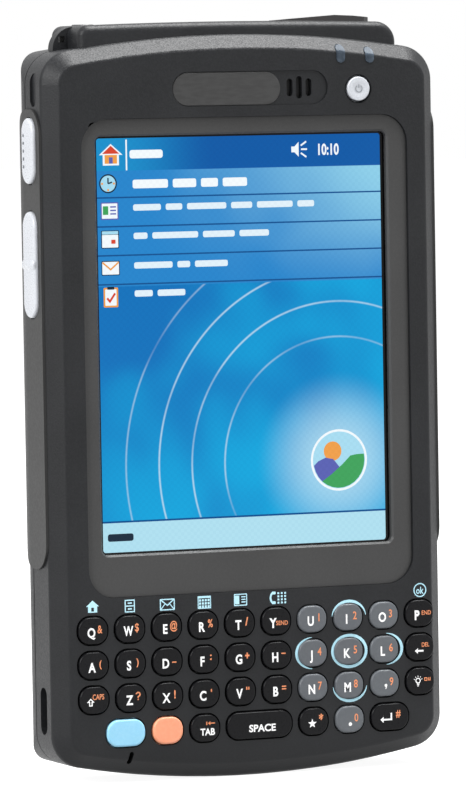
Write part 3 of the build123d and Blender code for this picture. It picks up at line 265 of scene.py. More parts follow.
def flat_piece(name, parts, depth, body, slot=None):
    """One object made of flat parts that face the viewer.

    Each part is (part, x, z, material), with its place in mm, and lies at the given depth in
    metres. Later parts lie a hair in front of earlier ones."""
    points, faces, which, materials = [], [], [], []
    for order, (part, x, z, material) in enumerate(parts):
        start = len(points)
        lift = order * HAIR
        points += [((px + x) * MM, depth - lift, (pz + z) * MM) for px, pz in part[0]]
        faces += [tuple(start + i for i in face) for face in part[1]]
        if material not in materials:
            materials.append(material)
        which += [materials.index(material)] * len(part[1])
    return mesh_piece(name, points, faces, materials, body, slot, which)


def mesh_piece(name, points, faces, materials, body, slot=None, which=None, smooth=False):
    """A mesh object that rides on a body."""
    mesh = bpy.data.meshes.new(name)
    mesh.from_pydata(points, [], faces)
    for material in materials:
        mesh.materials.append(material)
    if which:
        mesh.polygons.foreach_set("material_index", which)
    mesh.polygons.foreach_set("use_smooth", [smooth] * len(mesh.polygons))
    mesh.update()
    piece = bpy.data.objects.new(name, mesh)
    bpy.context.scene.collection.objects.link(piece)
    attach(piece, body)
    return piece


def loft(rings, round_trip=False):
    """Points and faces of a closed skin over rings.

    The rings turn left round the way in which they follow each other. On a round trip the last ring
    joins the first one, as in a sleeve. Otherwise both ends are closed."""
    count = len(rings[0])
    links = [(level, level + 1) for level in range(len(rings) - 1)]
    if round_trip:
        links.append((len(rings) - 1, 0))
        faces = []
    else:
        faces = [tuple(reversed(range(count))), tuple(range((len(rings) - 1) * count, len(rings) * count))]
    for here, there in links:
        for i in range(count):
            j = (i + 1) % count
            faces.append((here * count + i, here * count + j, there * count + j, there * count + i))
    return [point for ring in rings for point in ring], faces


# ---- Geometry node trees -------------------------------------------------------------------------


def new_tree(name, sizes):
    """A geometry tree with named inputs. Returns the tree, its input node and its output node."""
    tree = bpy.data.node_groups.new(name, "GeometryNodeTree")
    tree.interface.new_socket(name="Geometry", in_out="OUTPUT", socket_type="NodeSocketGeometry")
    for label, kind, default in sizes:
        socket = tree.interface.new_socket(name=label, in_out="INPUT", socket_type="NodeSocket" + kind)
        socket.default_value = default
    return tree, add_node(tree, "NodeGroupInput"), add_node(tree, "NodeGroupOutput")


def end_tree(tree, source, output, material):
    """Realize what a tree has made, and give it its finish."""
    real = add_node(tree, "GeometryNodeRealizeInstances", {"Geometry": source})
    done = add_node(tree, "GeometryNodeSetMaterial", {"Geometry": real.outputs[0], "Material": material})
    tree.links.new(done.outputs[0], output.inputs[0])


def run_tree(tree, values):
    """The points, faces and finish that a tree makes from these input values."""
    holder = bpy.data.objects.new("holder", bpy.data.meshes.new("holder"))
    modifier = holder.modifiers.new("tree", "NODES")
    modifier.node_group = tree
    for item in tree.interface.items_tree:
        if item.in_out == "INPUT" and item.name in values:
            modifier[item.identifier] = values[item.name]
    bpy.context.scene.collection.objects.link(holder)
    bpy.context.view_layer.update()
    mesh = bpy.data.meshes.new_from_object(holder.evaluated_get(bpy.context.evaluated_depsgraph_get()))
    holder.modifiers.remove(modifier)
    bpy.data.objects.remove(holder)
    if not mesh.polygons:
        raise RuntimeError(f"{tree.name} made nothing")
    made = [tuple(v.co) for v in mesh.vertices], [tuple(p.vertices) for p in mesh.polygons]
    bpy.data.meshes.remove(mesh)
    return made


def tree_piece(name, tree, runs, material, body, slot=None, smooth=False):
    """One plain mesh from several runs of a tree."""
    points, faces = [], []
    for values in runs:
        more, over = run_tree(tree, values)
        start = len(points)
        points += more
        faces += [tuple(start + i for i in face) for face in over]
    return mesh_piece(name, points, faces, [material], body, slot, smooth=smooth)


def crescent_tree(material):
    """A flat arc whose band narrows to its ends, round a key and in the face of the housing."""
    tree, given, output = new_tree("printed_crescent", (
        ("Centre", "Vector", (0.0, 0.0, 0.0)), ("Radius X", "Float", 0.003), ("Radius Z", "Float", 0.003),
        ("Start", "Float", 0.0), ("Sweep", "Float", pi), ("Band", "Float", 0.0003), ("Taper", "Float", 1.0),
    ))
    arc = add_node(tree, "GeometryNodeCurveArc", {
        "Resolution": 64, "Radius": 1.0, "Start Angle": given.outputs["Start"],
        "Sweep Angle": given.outputs["Sweep"],
    })
    size = add_node(tree, "ShaderNodeCombineXYZ", {
        0: given.outputs["Radius X"], 1: given.outputs["Radius Z"], 2: 1.0,
    })
    oval = add_node(tree, "GeometryNodeTransform", {
        "Geometry": arc.outputs["Curve"], "Scale": size.outputs[0],
    })
    along = add_node(tree, "GeometryNodeSplineParameter").outputs["Factor"]
    wave = sum_of(tree, "SINE", sum_of(tree, "MULTIPLY", along, pi))
    width = add_node(tree, "ShaderNodeMix", {
        0: given.outputs["Taper"], 2: 1.0, 3: wave,
    }, data_type="FLOAT").outputs[0]
    wide = sum_of(tree, "MULTIPLY", width, given.outputs["Band"])
    profile = add_node(tree, "GeometryNodeCurvePrimitiveLine", {"Start": (-0.5, 0, 0), "End": (0.5, 0, 0)})
    ribbon = add_node(tree, "GeometryNodeCurveToMesh", {
        "Curve": oval.outputs[0], "Profile Curve": profile.outputs[0], "Scale": wide,
    })
    stood = add_node(tree, "GeometryNodeTransform", {
        "Geometry": ribbon.outputs[0], "Rotation": (pi / 2, 0, 0), "Translation": given.outputs["Centre"],
    })
    end_tree(tree, stood.outputs[0], output, material)
    return tree


def pads_tree(material):
    """Small flat pads in rows and columns, which face the viewer."""
    tree, given, output = new_tree("printed_pads", (
        ("Centre", "Vector", (0.0, 0.0, 0.0)), ("Columns", "Int", 3), ("Rows", "Int", 4),
        ("Span X", "Float", 0.001), ("Span Z", "Float", 0.001),
        ("Pad X", "Float", 0.0003), ("Pad Z", "Float", 0.0003),
    ))
    grid = add_node(tree, "GeometryNodeMeshGrid", {
        "Size X": given.outputs["Span X"], "Size Y": given.outputs["Span Z"],
        "Vertices X": given.outputs["Columns"], "Vertices Y": given.outputs["Rows"],
    })
    pad = add_node(tree, "GeometryNodeMeshGrid", {
        "Size X": given.outputs["Pad X"], "Size Y": given.outputs["Pad Z"], "Vertices X": 2, "Vertices Y": 2,
    })
    placed = add_node(tree, "GeometryNodeInstanceOnPoints", {
        "Points": grid.outputs[0], "Instance": pad.outputs[0],
    })
    stood = add_node(tree, "GeometryNodeTransform", {
        "Geometry": placed.outputs[0], "Rotation": (pi / 2, 0, 0), "Translation": given.outputs["Centre"],
    })
    end_tree(tree, stood.outputs[0], output, material)
    return tree


def pips_tree(material):
    """A row of low round pips along Z, on a face that looks to the left."""
    tree, given, output = new_tree("row_of_pips", (
        ("Centre", "Vector", (0.0, 0.0, 0.0)), ("Count", "Int", 5), ("Pitch", "Float", 0.001),
        ("Radius", "Float", 0.0003), ("Height", "Float", 0.0001),
    ))
    last = sum_of(tree, "SUBTRACT", given.outputs["Count"], 1.0)
    low = sum_of(tree, "MULTIPLY", sum_of(tree, "MULTIPLY", last, -0.5), given.outputs["Pitch"])
    step = add_node(tree, "ShaderNodeCombineXYZ", {2: given.outputs["Pitch"]})
    start = add_node(tree, "ShaderNodeVectorMath", {
        0: given.outputs["Centre"], 1: add_node(tree, "ShaderNodeCombineXYZ", {2: low}).outputs[0],
    }, operation="ADD")
    row = add_node(tree, "GeometryNodeMeshLine", {
        "Count": given.outputs["Count"], "Start Location": start.outputs[0], "Offset": step.outputs[0],
    })
    ball = add_node(tree, "GeometryNodeMeshUVSphere", {"Segments": 14, "Rings": 8, "Radius": 1.0})
    size = add_node(tree, "ShaderNodeCombineXYZ", {
        0: given.outputs["Height"], 1: given.outputs["Radius"], 2: given.outputs["Radius"],
    })
    low_ball = add_node(tree, "GeometryNodeTransform", {
        "Geometry": ball.outputs[0], "Scale": size.outputs[0],
    })
    placed = add_node(tree, "GeometryNodeInstanceOnPoints", {
        "Points": row.outputs[0], "Instance": low_ball.outputs[0],
    })
    end_tree(tree, placed.outputs[0], output, material)
    return tree


# ---- What a user would change ------------------------------------------------------------------------


def colour_of(name, about, code):
    """A colour for the panel, from an sRGB hex value."""
    return bpy.props.FloatVectorProperty(
        name=name, description=about, default=linear(code)[:3], size=3, subtype="COLOR", min=0, max=1
    )


def length_of(name, about, default):
    """A length for the panel, given in millimetres."""
    return bpy.props.FloatProperty(
        name=name, description=about, default=default * MM, unit="LENGTH", subtype="DISTANCE", precision=5
    )


class TerminalPrints(bpy.types.PropertyGroup):
    """Sizes of the key letters and the signs on the face."""

    letter: length_of("Letter height", "Height of the white capitals on the keys", 1.66)
    second: length_of("Second sign height", "Height of the orange signs on the keys", 1.42)
    word: length_of("Word height", "Height of the small orange words on the keys", 0.78)
    lift: length_of("Print thickness", "How far a print lies in front of its face", 0.02)
    letter_x: length_of("Letter shift across", "Place of the white letter from the key's middle", -0.4)
    letter_z: length_of("Letter shift up", "Height of the white letter from the key's middle", -0.27)
    second_x: length_of("Second sign shift across", "Place of the orange sign from the key's middle", 1.18)
    second_z: length_of("Second sign shift up", "Height of the orange sign from the key's middle", 0.3)
    ring_width: length_of("Ring width", "Width of the printed ring round the middle number key", 7.0)
    ring_height: length_of("Ring height", "Height of the printed ring round the middle number key", 6.05)
    ring_band: length_of("Ring band", "Width of the printed band at its widest", 0.52)


class TerminalScreen(bpy.types.PropertyGroup):
    """Sizes and colours of the picture on the screen."""

    width: length_of("Picture width", "Width of the lit picture", 53.64)
    height: length_of("Picture height", "Height of the lit picture", 71.52)
    middle_x: length_of("Picture middle", "Place of the picture's middle across the terminal", -0.35)
    middle_z: length_of("Picture middle height", "Height of the picture's middle above the foot", 76.0)
    bar_z: length_of("Title bar foot", "Height of the lower edge of the title bar", 106.15)
    row_pitch: length_of("Row pitch", "Distance from one dividing line to the next", 4.99)
    foot_z: length_of("Menu bar head", "Height of the upper edge of the menu bar", 45.5)
    deep: colour_of("Deep blue", "Colour of the title bar", "#0059a6")
    pale: colour_of("Pale blue", "Colour of the menu bar", "#b0e0f0")


class TerminalStage(bpy.types.PropertyGroup):
    """Camera and light."""

    lens: bpy.props.FloatProperty(
        name="Focal length", description="Focal length on a 36 mm wide sensor", default=267.397, min=20,
        unit="CAMERA", subtype="DISTANCE_CAMERA",
    )
    key: bpy.props.FloatProperty(
        name="Main lamp", description="Power of the large lamp at the upper left", default=14.0, min=0,
        unit="POWER", subtype="POWER",
    )
    top: bpy.props.FloatProperty(
        name="Top lamp", description="Power of the lamp above", default=28.0, min=0,
        unit="POWER", subtype="POWER",
    )
    fill: bpy.props.FloatProperty(
        name="Fill lamp", description="Power of the weak lamp at the right", default=1.2, min=0,
        unit="POWER", subtype="POWER",
    )
    air: bpy.props.FloatProperty(
        name="Room light", description="Strength of the light from all round", default=0.5, min=0,
        subtype="FACTOR",
    )


# ---- Operators ---------------------------------------------------------------------------------------


class TERMINAL_OT_shell(bpy.types.Operator):
    """Finish the housings, the grips, the bezel and the battery door."""

    bl_idname = "terminal.shell"
    bl_label = "Shell"

    def execute(self, context):
        # PC/ABS, moulded in a spark-eroded tool: a dry dark surface, whose fine grain catches light.
        # The grain is really 0.05 mm, and is drawn 0.3 mm wide so that it shows.
        shell = moulded(
            "pc_abs_spark_textured", "#17181a", "#222325", 0.3, 0.03, (0.36, 0.5),
            {"IOR": 1.54, "Specular IOR Level": 0.18},
        )
        dress(("front_housing", "rear_housing", "scanner_cover"), shell)
        # The same plastic from another tool, a shade darker.
        door = moulded("pc_abs_door", "#151618", "#1f2022", 0.3, 0.03, (0.4, 0.54), {
            "IOR": 1.54, "Specular IOR Level": 0.18,
        })
        dress(("battery_door", "battery_latch"), door)
        # Over-moulded TPE elastomer: a soft satin sheen with no clear highlight.
        grip = moulded(
            "tpe_over_moulded_grip", "#222222", "#2b2b2b", 0.5, 0.008, (0.42, 0.52),
            {"IOR": 1.5, "Specular IOR Level": 0.22, "Sheen Weight": 0.08, "Sheen Roughness": 0.5},
        )
        dress(("left_grip", "right_grip"), grip)
        # ABS with a sprayed satin paint: lighter than the shell, with a very fine orange-peel.
        bezel = moulded(
            "abs_satin_painted_bezel", "#383838", "#3f3f3f", 0.4, 0.004, (0.36, 0.46),
            {"IOR": 1.5, "Specular IOR Level": 0.25},
        )
        dress(("display_bezel",), bezel)
        return {"FINISHED"}


class TERMINAL_OT_controls(bpy.types.Operator):
    """Finish the keys, the buttons, the light pipes, the exit window and the stylus."""

    bl_idname = "terminal.controls"
    bl_label = "Keys and buttons"

    def execute(self, context):
        names = [n for n in NODES if n.startswith("key_")]
        gray = ["key_" + k for k in GRAY_KEYS]
        # Moulded polycarbonate caps with a hard clear coat: near black, softly glossy on their round edges.
        dark_cap = moulded(
            "polycarbonate_dark_cap", "#0e0e10", "#121214", 0.6, 0.0015, (0.26, 0.32),
            {"IOR": 1.58, "Specular IOR Level": 0.08, "Coat Weight": 0.03, "Coat Roughness": 0.12},
        )
        dress([n for n in names if n not in gray and n not in BARE_KEYS], dark_cap)
        gray_cap = moulded(
            "polycarbonate_gray_cap", "#56595e", "#5d6165", 0.6, 0.0015, (0.28, 0.34),
            {"IOR": 1.58, "Specular IOR Level": 0.2, "Coat Weight": 0.08, "Coat Roughness": 0.12},
        )
        dress(gray, gray_cap)
        # Tinted translucent polycarbonate: an even bright colour that glows a little under its skin.
        for tint, low, high, reach in (
            ("blue", "#8ecbe8", "#9ad2ec", (0.4, 0.6, 0.8)),
            ("orange", "#ee9a76", "#f4a582", (0.9, 0.5, 0.3)),
        ):
            tinted_cap = moulded(f"polycarbonate_{tint}_cap", low, high, 0.6, 0.0015, (0.28, 0.34), {
                "IOR": 1.58, "Specular IOR Level": 0.25, "Coat Weight": 0.1, "Coat Roughness": 0.12,
                "Subsurface Weight": 0.15, "Subsurface Radius": reach, "Subsurface Scale": 1.0 * MM,
            })
            dress(("key_" + tint,), tinted_cap)
        # ABS with a pearl silver paint: almost white in the light, with a fine flake and a soft gloss.
        pearl = moulded(
            "abs_pearl_silver_paint", "#bfc2c8", "#cccfd4", 0.25, 0.0015, (0.24, 0.36),
            {"IOR": 1.5, "Specular IOR Level": 0.35, "Coat Weight": 0.2, "Coat Roughness": 0.1},
        )
        dress(("power_button", "scan_button", "rocker_button"), pearl)
        # Clear moulded acrylic over a dark well: bluish grey and smooth.
        pipe = moulded(
            "acrylic_light_pipe", "#363e47", "#515b66", 1.2, 0.002, (0.12, 0.2),
            {"IOR": 1.49, "Specular IOR Level": 0.06}, drift=2.0,
        )
        dress(("status_light_pipes",), pipe)
        # Polished dark acrylic: black with a trace of red where light enters it.
        window = moulded(
            "acrylic_scan_window", "#0b080a", "#140a0d", 2.0, 0.001, (0.05, 0.09),
            {"IOR": 1.49, "Coat Weight": 0.5, "Coat Roughness": 0.02}, drift=6.0,
        )
        dress(("scan_window",), window)
        # Moulded ABS pen with a satin barrel.
        pen = moulded("abs_pen_barrel", "#1b1b1d", "#232325", 0.4, 0.006, (0.4, 0.52), {"IOR": 1.54})
        dress(("stylus",), pen)
        return {"FINISHED"}


def patterned(name, base, mark, where, rough, shader=None, metal=False):
    """A material with a second finish where a mask says so.

    The mask comes from where, which takes the tree and the x, y and z sockets."""
    material, tree = new_material(name)
    place = add_node(tree, "ShaderNodeTexCoord").outputs["Object"]
    axes = add_node(tree, "ShaderNodeSeparateXYZ", {0: place})
    mask = where(tree, axes.outputs[0], axes.outputs[1], axes.outputs[2])
    grain = add_node(tree, "ShaderNodeTexNoise", {
        "Vector": place, "Scale": 1 / (0.4 * MM), "Detail": 2.0,
    }).outputs[0]
    relief = add_node(tree, "ShaderNodeBump", {"Height": grain, "Strength": 1.0, "Distance": 0.006 * MM})
    shade = blend(tree, band(tree, grain, 0.3, 0.7), linear(base[0]), linear(base[1]))
    inputs = {
        "Base Color": blend(tree, mask, shade, linear(mark)),
        "Roughness": band(tree, grain, 0.3, 0.7, rough[0], rough[1]),
        "Normal": relief.outputs[0],
    }
    if metal:
        inputs["Metallic"] = mask
    inputs.update(shader or {})
    close_material(tree, inputs)
    return material


class TERMINAL_OT_inside(bpy.types.Operator):
    """Finish the display, the boards, the battery and the other pieces inside."""

    bl_idname = "terminal.inside"
    bl_label = "Inside pieces"

    def execute(self, context):
        # Glass with a black border printed on its back: deep black and smooth.
        glass = moulded(
            "glass_black_border", "#030304", "#050506", 3.0, 0.0005, (0.04, 0.07),
            {"IOR": 1.5, "Specular IOR Level": 0.15}, drift=20.0,
        )
        dress(("touch_panel",), glass)
        # Rolled stainless frame of the display.
        frame_steel = moulded(
            "stainless_display_frame", "#8d9093", "#a2a5a8", 0.2, 0.004, (0.28, 0.42), {"Metallic": 1.0}
        )
        dress(("lcd_module",), frame_steel)
        # Moulded silicone: dull and slightly milky.
        silicone = moulded("silicone_keypad", "#77787a", "#828385", 0.5, 0.008, (0.6, 0.72), {"IOR": 1.41})
        dress(("keypad_sheet",), silicone)
        # Paper cone and steel can of the speaker, painted black.
        can = moulded("steel_speaker_can", "#0d0d0e", "#161617", 0.3, 0.01, (0.5, 0.66), {"IOR": 1.5})
        dress(("speaker",), can)
        # Glass-filled nylon of the scan engine.
        nylon = moulded("nylon_engine_body", "#161618", "#1f1f22", 0.35, 0.01, (0.48, 0.62), {"IOR": 1.53})
        dress(("scan_engine",), nylon)
        # Steel screws with a black zinc plating.
        plated = moulded("steel_black_zinc", "#2c2c2e", "#3b3b3e", 0.15, 0.004, (0.3, 0.46), {
            "Metallic": 1.0,
        })
        dress(("housing_screws",), plated)

        def tracks(tree, x, y, z):
            """Copper tracks 0.3 mm wide at 1.2 mm, under the solder mask."""
            pitch = 1.2 * MM
            row = sum_of(tree, "FRACT", sum_of(tree, "DIVIDE", sum_of(tree, "ADD", x, z), pitch))
            from_line = sum_of(tree, "ABSOLUTE", sum_of(tree, "SUBTRACT", row, 0.5))
            return band(tree, from_line, 0.1, 0.14, 1.0, 0.0)

        # FR4 glass-epoxy under a green solder mask: the tracks show as paler lines.
        board = patterned("fr4_green_solder_mask", ("#0d4a2a", "#12552f"), "#1d7040", tracks, (0.3, 0.42), {
            "IOR": 1.55,
        })
        dress(("main_board",), board)

        low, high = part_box("battery_pack")
        span = high.z - low.z

        def pack_label(tree, x, y, z):
            """A bare pale label across the middle of the pack's back."""
            foot, head, edge = low.z + 0.3 * span, low.z + 0.8 * span, 0.2 * MM
            above = band(tree, z, foot, foot + edge)
            below = band(tree, z, head, head + edge, 1.0, 0.0)
            up = sum_of(tree, "MULTIPLY", above, below)
            return sum_of(tree, "MULTIPLY", up, band(tree, y, high.y - 0.4 * MM, high.y - 0.2 * MM))

        # Shrink-wrapped aluminium can with a blank printed label.
        pack = patterned("pvc_wrapped_cell", ("#252628", "#2e2f31"), "#9b9c9e", pack_label, (0.3, 0.45), {
            "IOR": 1.53,
        })
        dress(("battery_pack",), pack)

        dock_low, dock_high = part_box("dock_connector")

        def contacts(tree, x, y, z):
            """Sixteen gilt contacts at 1.5 mm on the connector's tongue."""
            pitch = 1.5 * MM
            # Fifty pitches more keep the number over zero.
            step = sum_of(tree, "FRACT", sum_of(tree, "DIVIDE", sum_of(tree, "ADD", x, 50 * pitch), pitch))
            from_gap = sum_of(tree, "ABSOLUTE", sum_of(tree, "SUBTRACT", step, 0.5))
            across = band(tree, from_gap, 0.25, 0.28, 0.0, 1.0)
            middle = (dock_low.y + dock_high.y) / 2
            away = sum_of(tree, "ABSOLUTE", sum_of(tree, "SUBTRACT", y, middle))
            near = band(tree, away, 0.7 * MM, 0.9 * MM, 1.0, 0.0)
            within = band(tree, sum_of(tree, "ABSOLUTE", x), 12.1 * MM, 12.2 * MM, 1.0, 0.0)
            return sum_of(tree, "MULTIPLY", across, sum_of(tree, "MULTIPLY", near, within))

        # Liquid-crystal polymer with gilt phosphor-bronze contacts.
        dock = patterned("lcp_dock_connector", ("#0c0c0d", "#131314"), "#d9a945", contacts, (0.3, 0.4), {
            "IOR": 1.6,
        }, metal=True)
        dress(("dock_connector",), dock)
        return {"FINISHED"}


def print_material(name, low, high):
    """Printed ink: an even satin film that follows the plastic's grain."""
    return moulded(name, low, high, 0.35, 0.003, (0.4, 0.55), {"IOR": 1.5, "Specular IOR Level": 0.3})


def arrow_left(long, head, line):
    """An arrow that points to the left."""
    return [stroke(((long / 2, 0), (-long / 2 + line * 0.7, 0)), line),
            filled([(-long / 2, 0), (-long / 2 + head, -head * 0.85), (-long / 2 + head, head * 0.85)])]


def star(radius, points=5, inner=0.42):
    """A star with one point up."""
    corners = []
    for i in range(2 * points):
        reach, turn = radius if i % 2 == 0 else radius * inner, pi / 2 + pi * i / points
        corners.append((reach * cos(turn), reach * sin(turn)))
    return filled(corners)


def small_sign(sign, height):
    """The parts of one orange sign, with its middle at the origin."""
    line = 0.22
    hook = [(x, 0.3 + y) for x, y in arc_points(0.36, 170, -27.5, 9)]
    drawn = {
        "-": [plate(0.85, line)],
        "=": [bar(0.85, line, 0, 0.22), bar(0.85, line, 0, -0.22)],
        "'": [bar(line, 0.55, 0, 0.25)],
        '"': [bar(line, 0.55, -0.2, 0.25), bar(line, 0.55, 0.2, 0.25)],
        ":": [moved(disc(0.16, 16), 0, 0.36), moved(disc(0.16, 16), 0, -0.3)],
        "?": [
            stroke(hook + [(0.0, -0.1), (0.0, -0.28)], line),
            moved(disc(0.13, 16), 0, -0.55),
        ],
    }
    if sign in drawn:
        return drawn[sign]
    bold = 0.035 if sign in "+!()/" else 0.015
    if sign in "()":
        height *= 0.8
    return [lettering(sign, height, 0.72 if sign in "@%&" else 0.8, bold)]


def key_signs(name):
    """The white and the orange signs on a key, each a list of (part, x, z) from the key's middle, in mm."""
    sizes = bpy.context.scene.terminal_prints
    letter, second, word = sizes.letter / MM, sizes.second / MM, sizes.word / MM
    at = sizes.letter_x / MM, sizes.letter_z / MM
    beside = sizes.second_x / MM, sizes.second_z / MM
    pairs = dict(
        q="Q&", w="W$", e="E@", r="R%", t="T/", u="U1", i="I2", o="O3",
        a="A(", s="S)", d="D-", f="F:", g="G+", h="H-", j="J4", k="K5", l="L6",
        z="Z?", x="X!", c="C'", v='V"', b="B=", n="N7", m="M8",
    )
    if name in pairs:
        white, orange = pairs[name]
        down = -0.45 if name == "d" else 0.0
        return [(lettering(white, letter, 0.7 if white == "W" else 0.8, 0.032), *at)], [
            (part, beside[0], beside[1] + down) for part in small_sign(orange, second)
        ]
    if name == "comma":
        tail = filled([(0.26, 0.06), (0.05, 0.0), (-0.12, -0.62), (0.06, -0.62)])
        comma = [(part, 0.1, -0.4) for part in (disc(0.27, 20), tail)]
        return comma, [(lettering("9", second, 0.8, 0.012), *beside)]
    if name == "period":
        return [(disc(0.33, 24), 0.0, -0.85)], [(lettering("0", second, 0.8, 0.012), *beside)]
    if name == "y":
        send = lettering("SEND", word, 0.86, 0.015)
        return [(lettering("Y", letter, 0.8, 0.04), at[0] - 0.3, at[1])], [(send, 1.0, -0.32)]
    if name == "p":
        end = lettering("END", word, 0.86, 0.015)
        return [(lettering("P", letter, 0.8, 0.04), at[0] - 0.15, at[1])], [(end, 1.25, 0.1)]
    if name == "backspace":
        arrow = [(part, -0.25, -0.65) for part in arrow_left(1.7, 0.6, 0.32)]
        return arrow, [(lettering("DEL", word, 0.8, 0.015), 1.0, 0.45)]
    if name == "shift":
        outer = [
            (-0.32, -0.6), (0.32, -0.6), (0.32, 0.05), (0.72, 0.05), (0, 0.75), (-0.72, 0.05), (-0.32, 0.05),
        ]
        inner = [
            (-0.14, -0.42), (0.14, -0.42), (0.14, 0.22), (0.3, 0.22), (0, 0.5), (-0.3, 0.22), (-0.14, 0.22),
        ]
        caps = lettering("CAPS", word * 1.25, 0.7, 0.015)
        return [(filled(outer, inner), -0.75, -0.4)], [(caps, 0.68, 0.6)]
    if name == "backlight":
        x = -0.55
        bulb = [(annulus(0.5, 0.17), x, 0.1)]
        bulb += [(plate(0.42, 0.16, 0.05), x, -0.6), (plate(0.36, 0.14, 0.05), x, -0.84)]
        bulb += [(stroke(((side, -0.32), (side, -0.5)), 0.15), x, 0.0) for side in (-0.17, 0.17)]
        for angle in (20, 55, 90, 125, 160):
            c, s = cos(radians(angle)), sin(radians(angle))
            bulb.append((stroke(((0.66 * c, 0.66 * s), (0.88 * c, 0.88 * s)), 0.12), x, 0.1))
        cup = stroke(((1.5, 0.6), (1.5, 0.1), (1.8, 0.1), (1.8, 0.6)), 0.15)
        return bulb, [(outline(0.62, 0.62, 0.1, 0.15), 0.95, 0.3), (cup, 0.0, 0.0)]
    if name == "tab":
        back = [(stroke(((-0.75, -0.3), (-0.75, 0.3)), 0.2), 0.95, 0.85)]
        back += [(p, 1.1, 0.85) for p in arrow_left(1.3, 0.42, 0.18)]
        return [(lettering("TAB", 1.2, 0.9, 0.03), 0.35, -0.6)], back
    if name == "space":
        return [(lettering("SPACE", 1.25, 1.04, 0.03), 0.4, -0.5)], []
    if name == "star":
        return [(star(0.85), -0.4, -0.35)], [(lettering("*", 1.7, 0.85, 0.02), 1.3, 0.45)]
    if name == "enter":
        turn = [(stroke(((0.95, 0.85), (0.95, -0.3), (-0.75, -0.3)), 0.3), -0.8, -0.15)]
        turn.append((filled([(-1.15, -0.3), (-0.55, -0.85), (-0.55, 0.25)]), -0.8, -0.15))
        return turn, [(lettering("#", 1.35, 0.8, 0.02), 1.5, 0.6)]
    return [], []


class TERMINAL_OT_letters(bpy.types.Operator):
    """Print the letters and signs on the keys."""

    bl_idname = "terminal.letters"
    bl_label = "Key letters"

    def execute(self, context):
        sizes = context.scene.terminal_prints
        # Two pad-printed inks: opaque and satin on the glossy caps.
        white_ink = print_material("pad_print_white", "#f6f6f6", "#fdfdfd")
        orange_ink = print_material("pad_print_orange", "#e2895c", "#ec9a70")
        made = 0
        keys = sorted(n for n in NODES if n.startswith("key_"))
        for node in keys:
            white, orange = key_signs(node[4:])
            if not white and not orange:
                continue
            low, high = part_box(node)
            x, z = (low.x + high.x) / 2 / MM, (low.z + high.z) / 2 / MM
            parts = [(part, x + dx, z + dz, white_ink) for part, dx, dz in white]
            parts += [(part, x + dx, z + dz, orange_ink) for part, dx, dz in orange]
            slot = "gray_key" if node[4:] in GRAY_KEYS else "dark_key"
            flat_piece("print_" + node, parts, low.y - sizes.lift, node, slot)
            made += 1
        if made != len(keys) - len(BARE_KEYS):
            raise RuntimeError(f"{made} of {len(keys)} keys carry print")
        return {"FINISHED"}


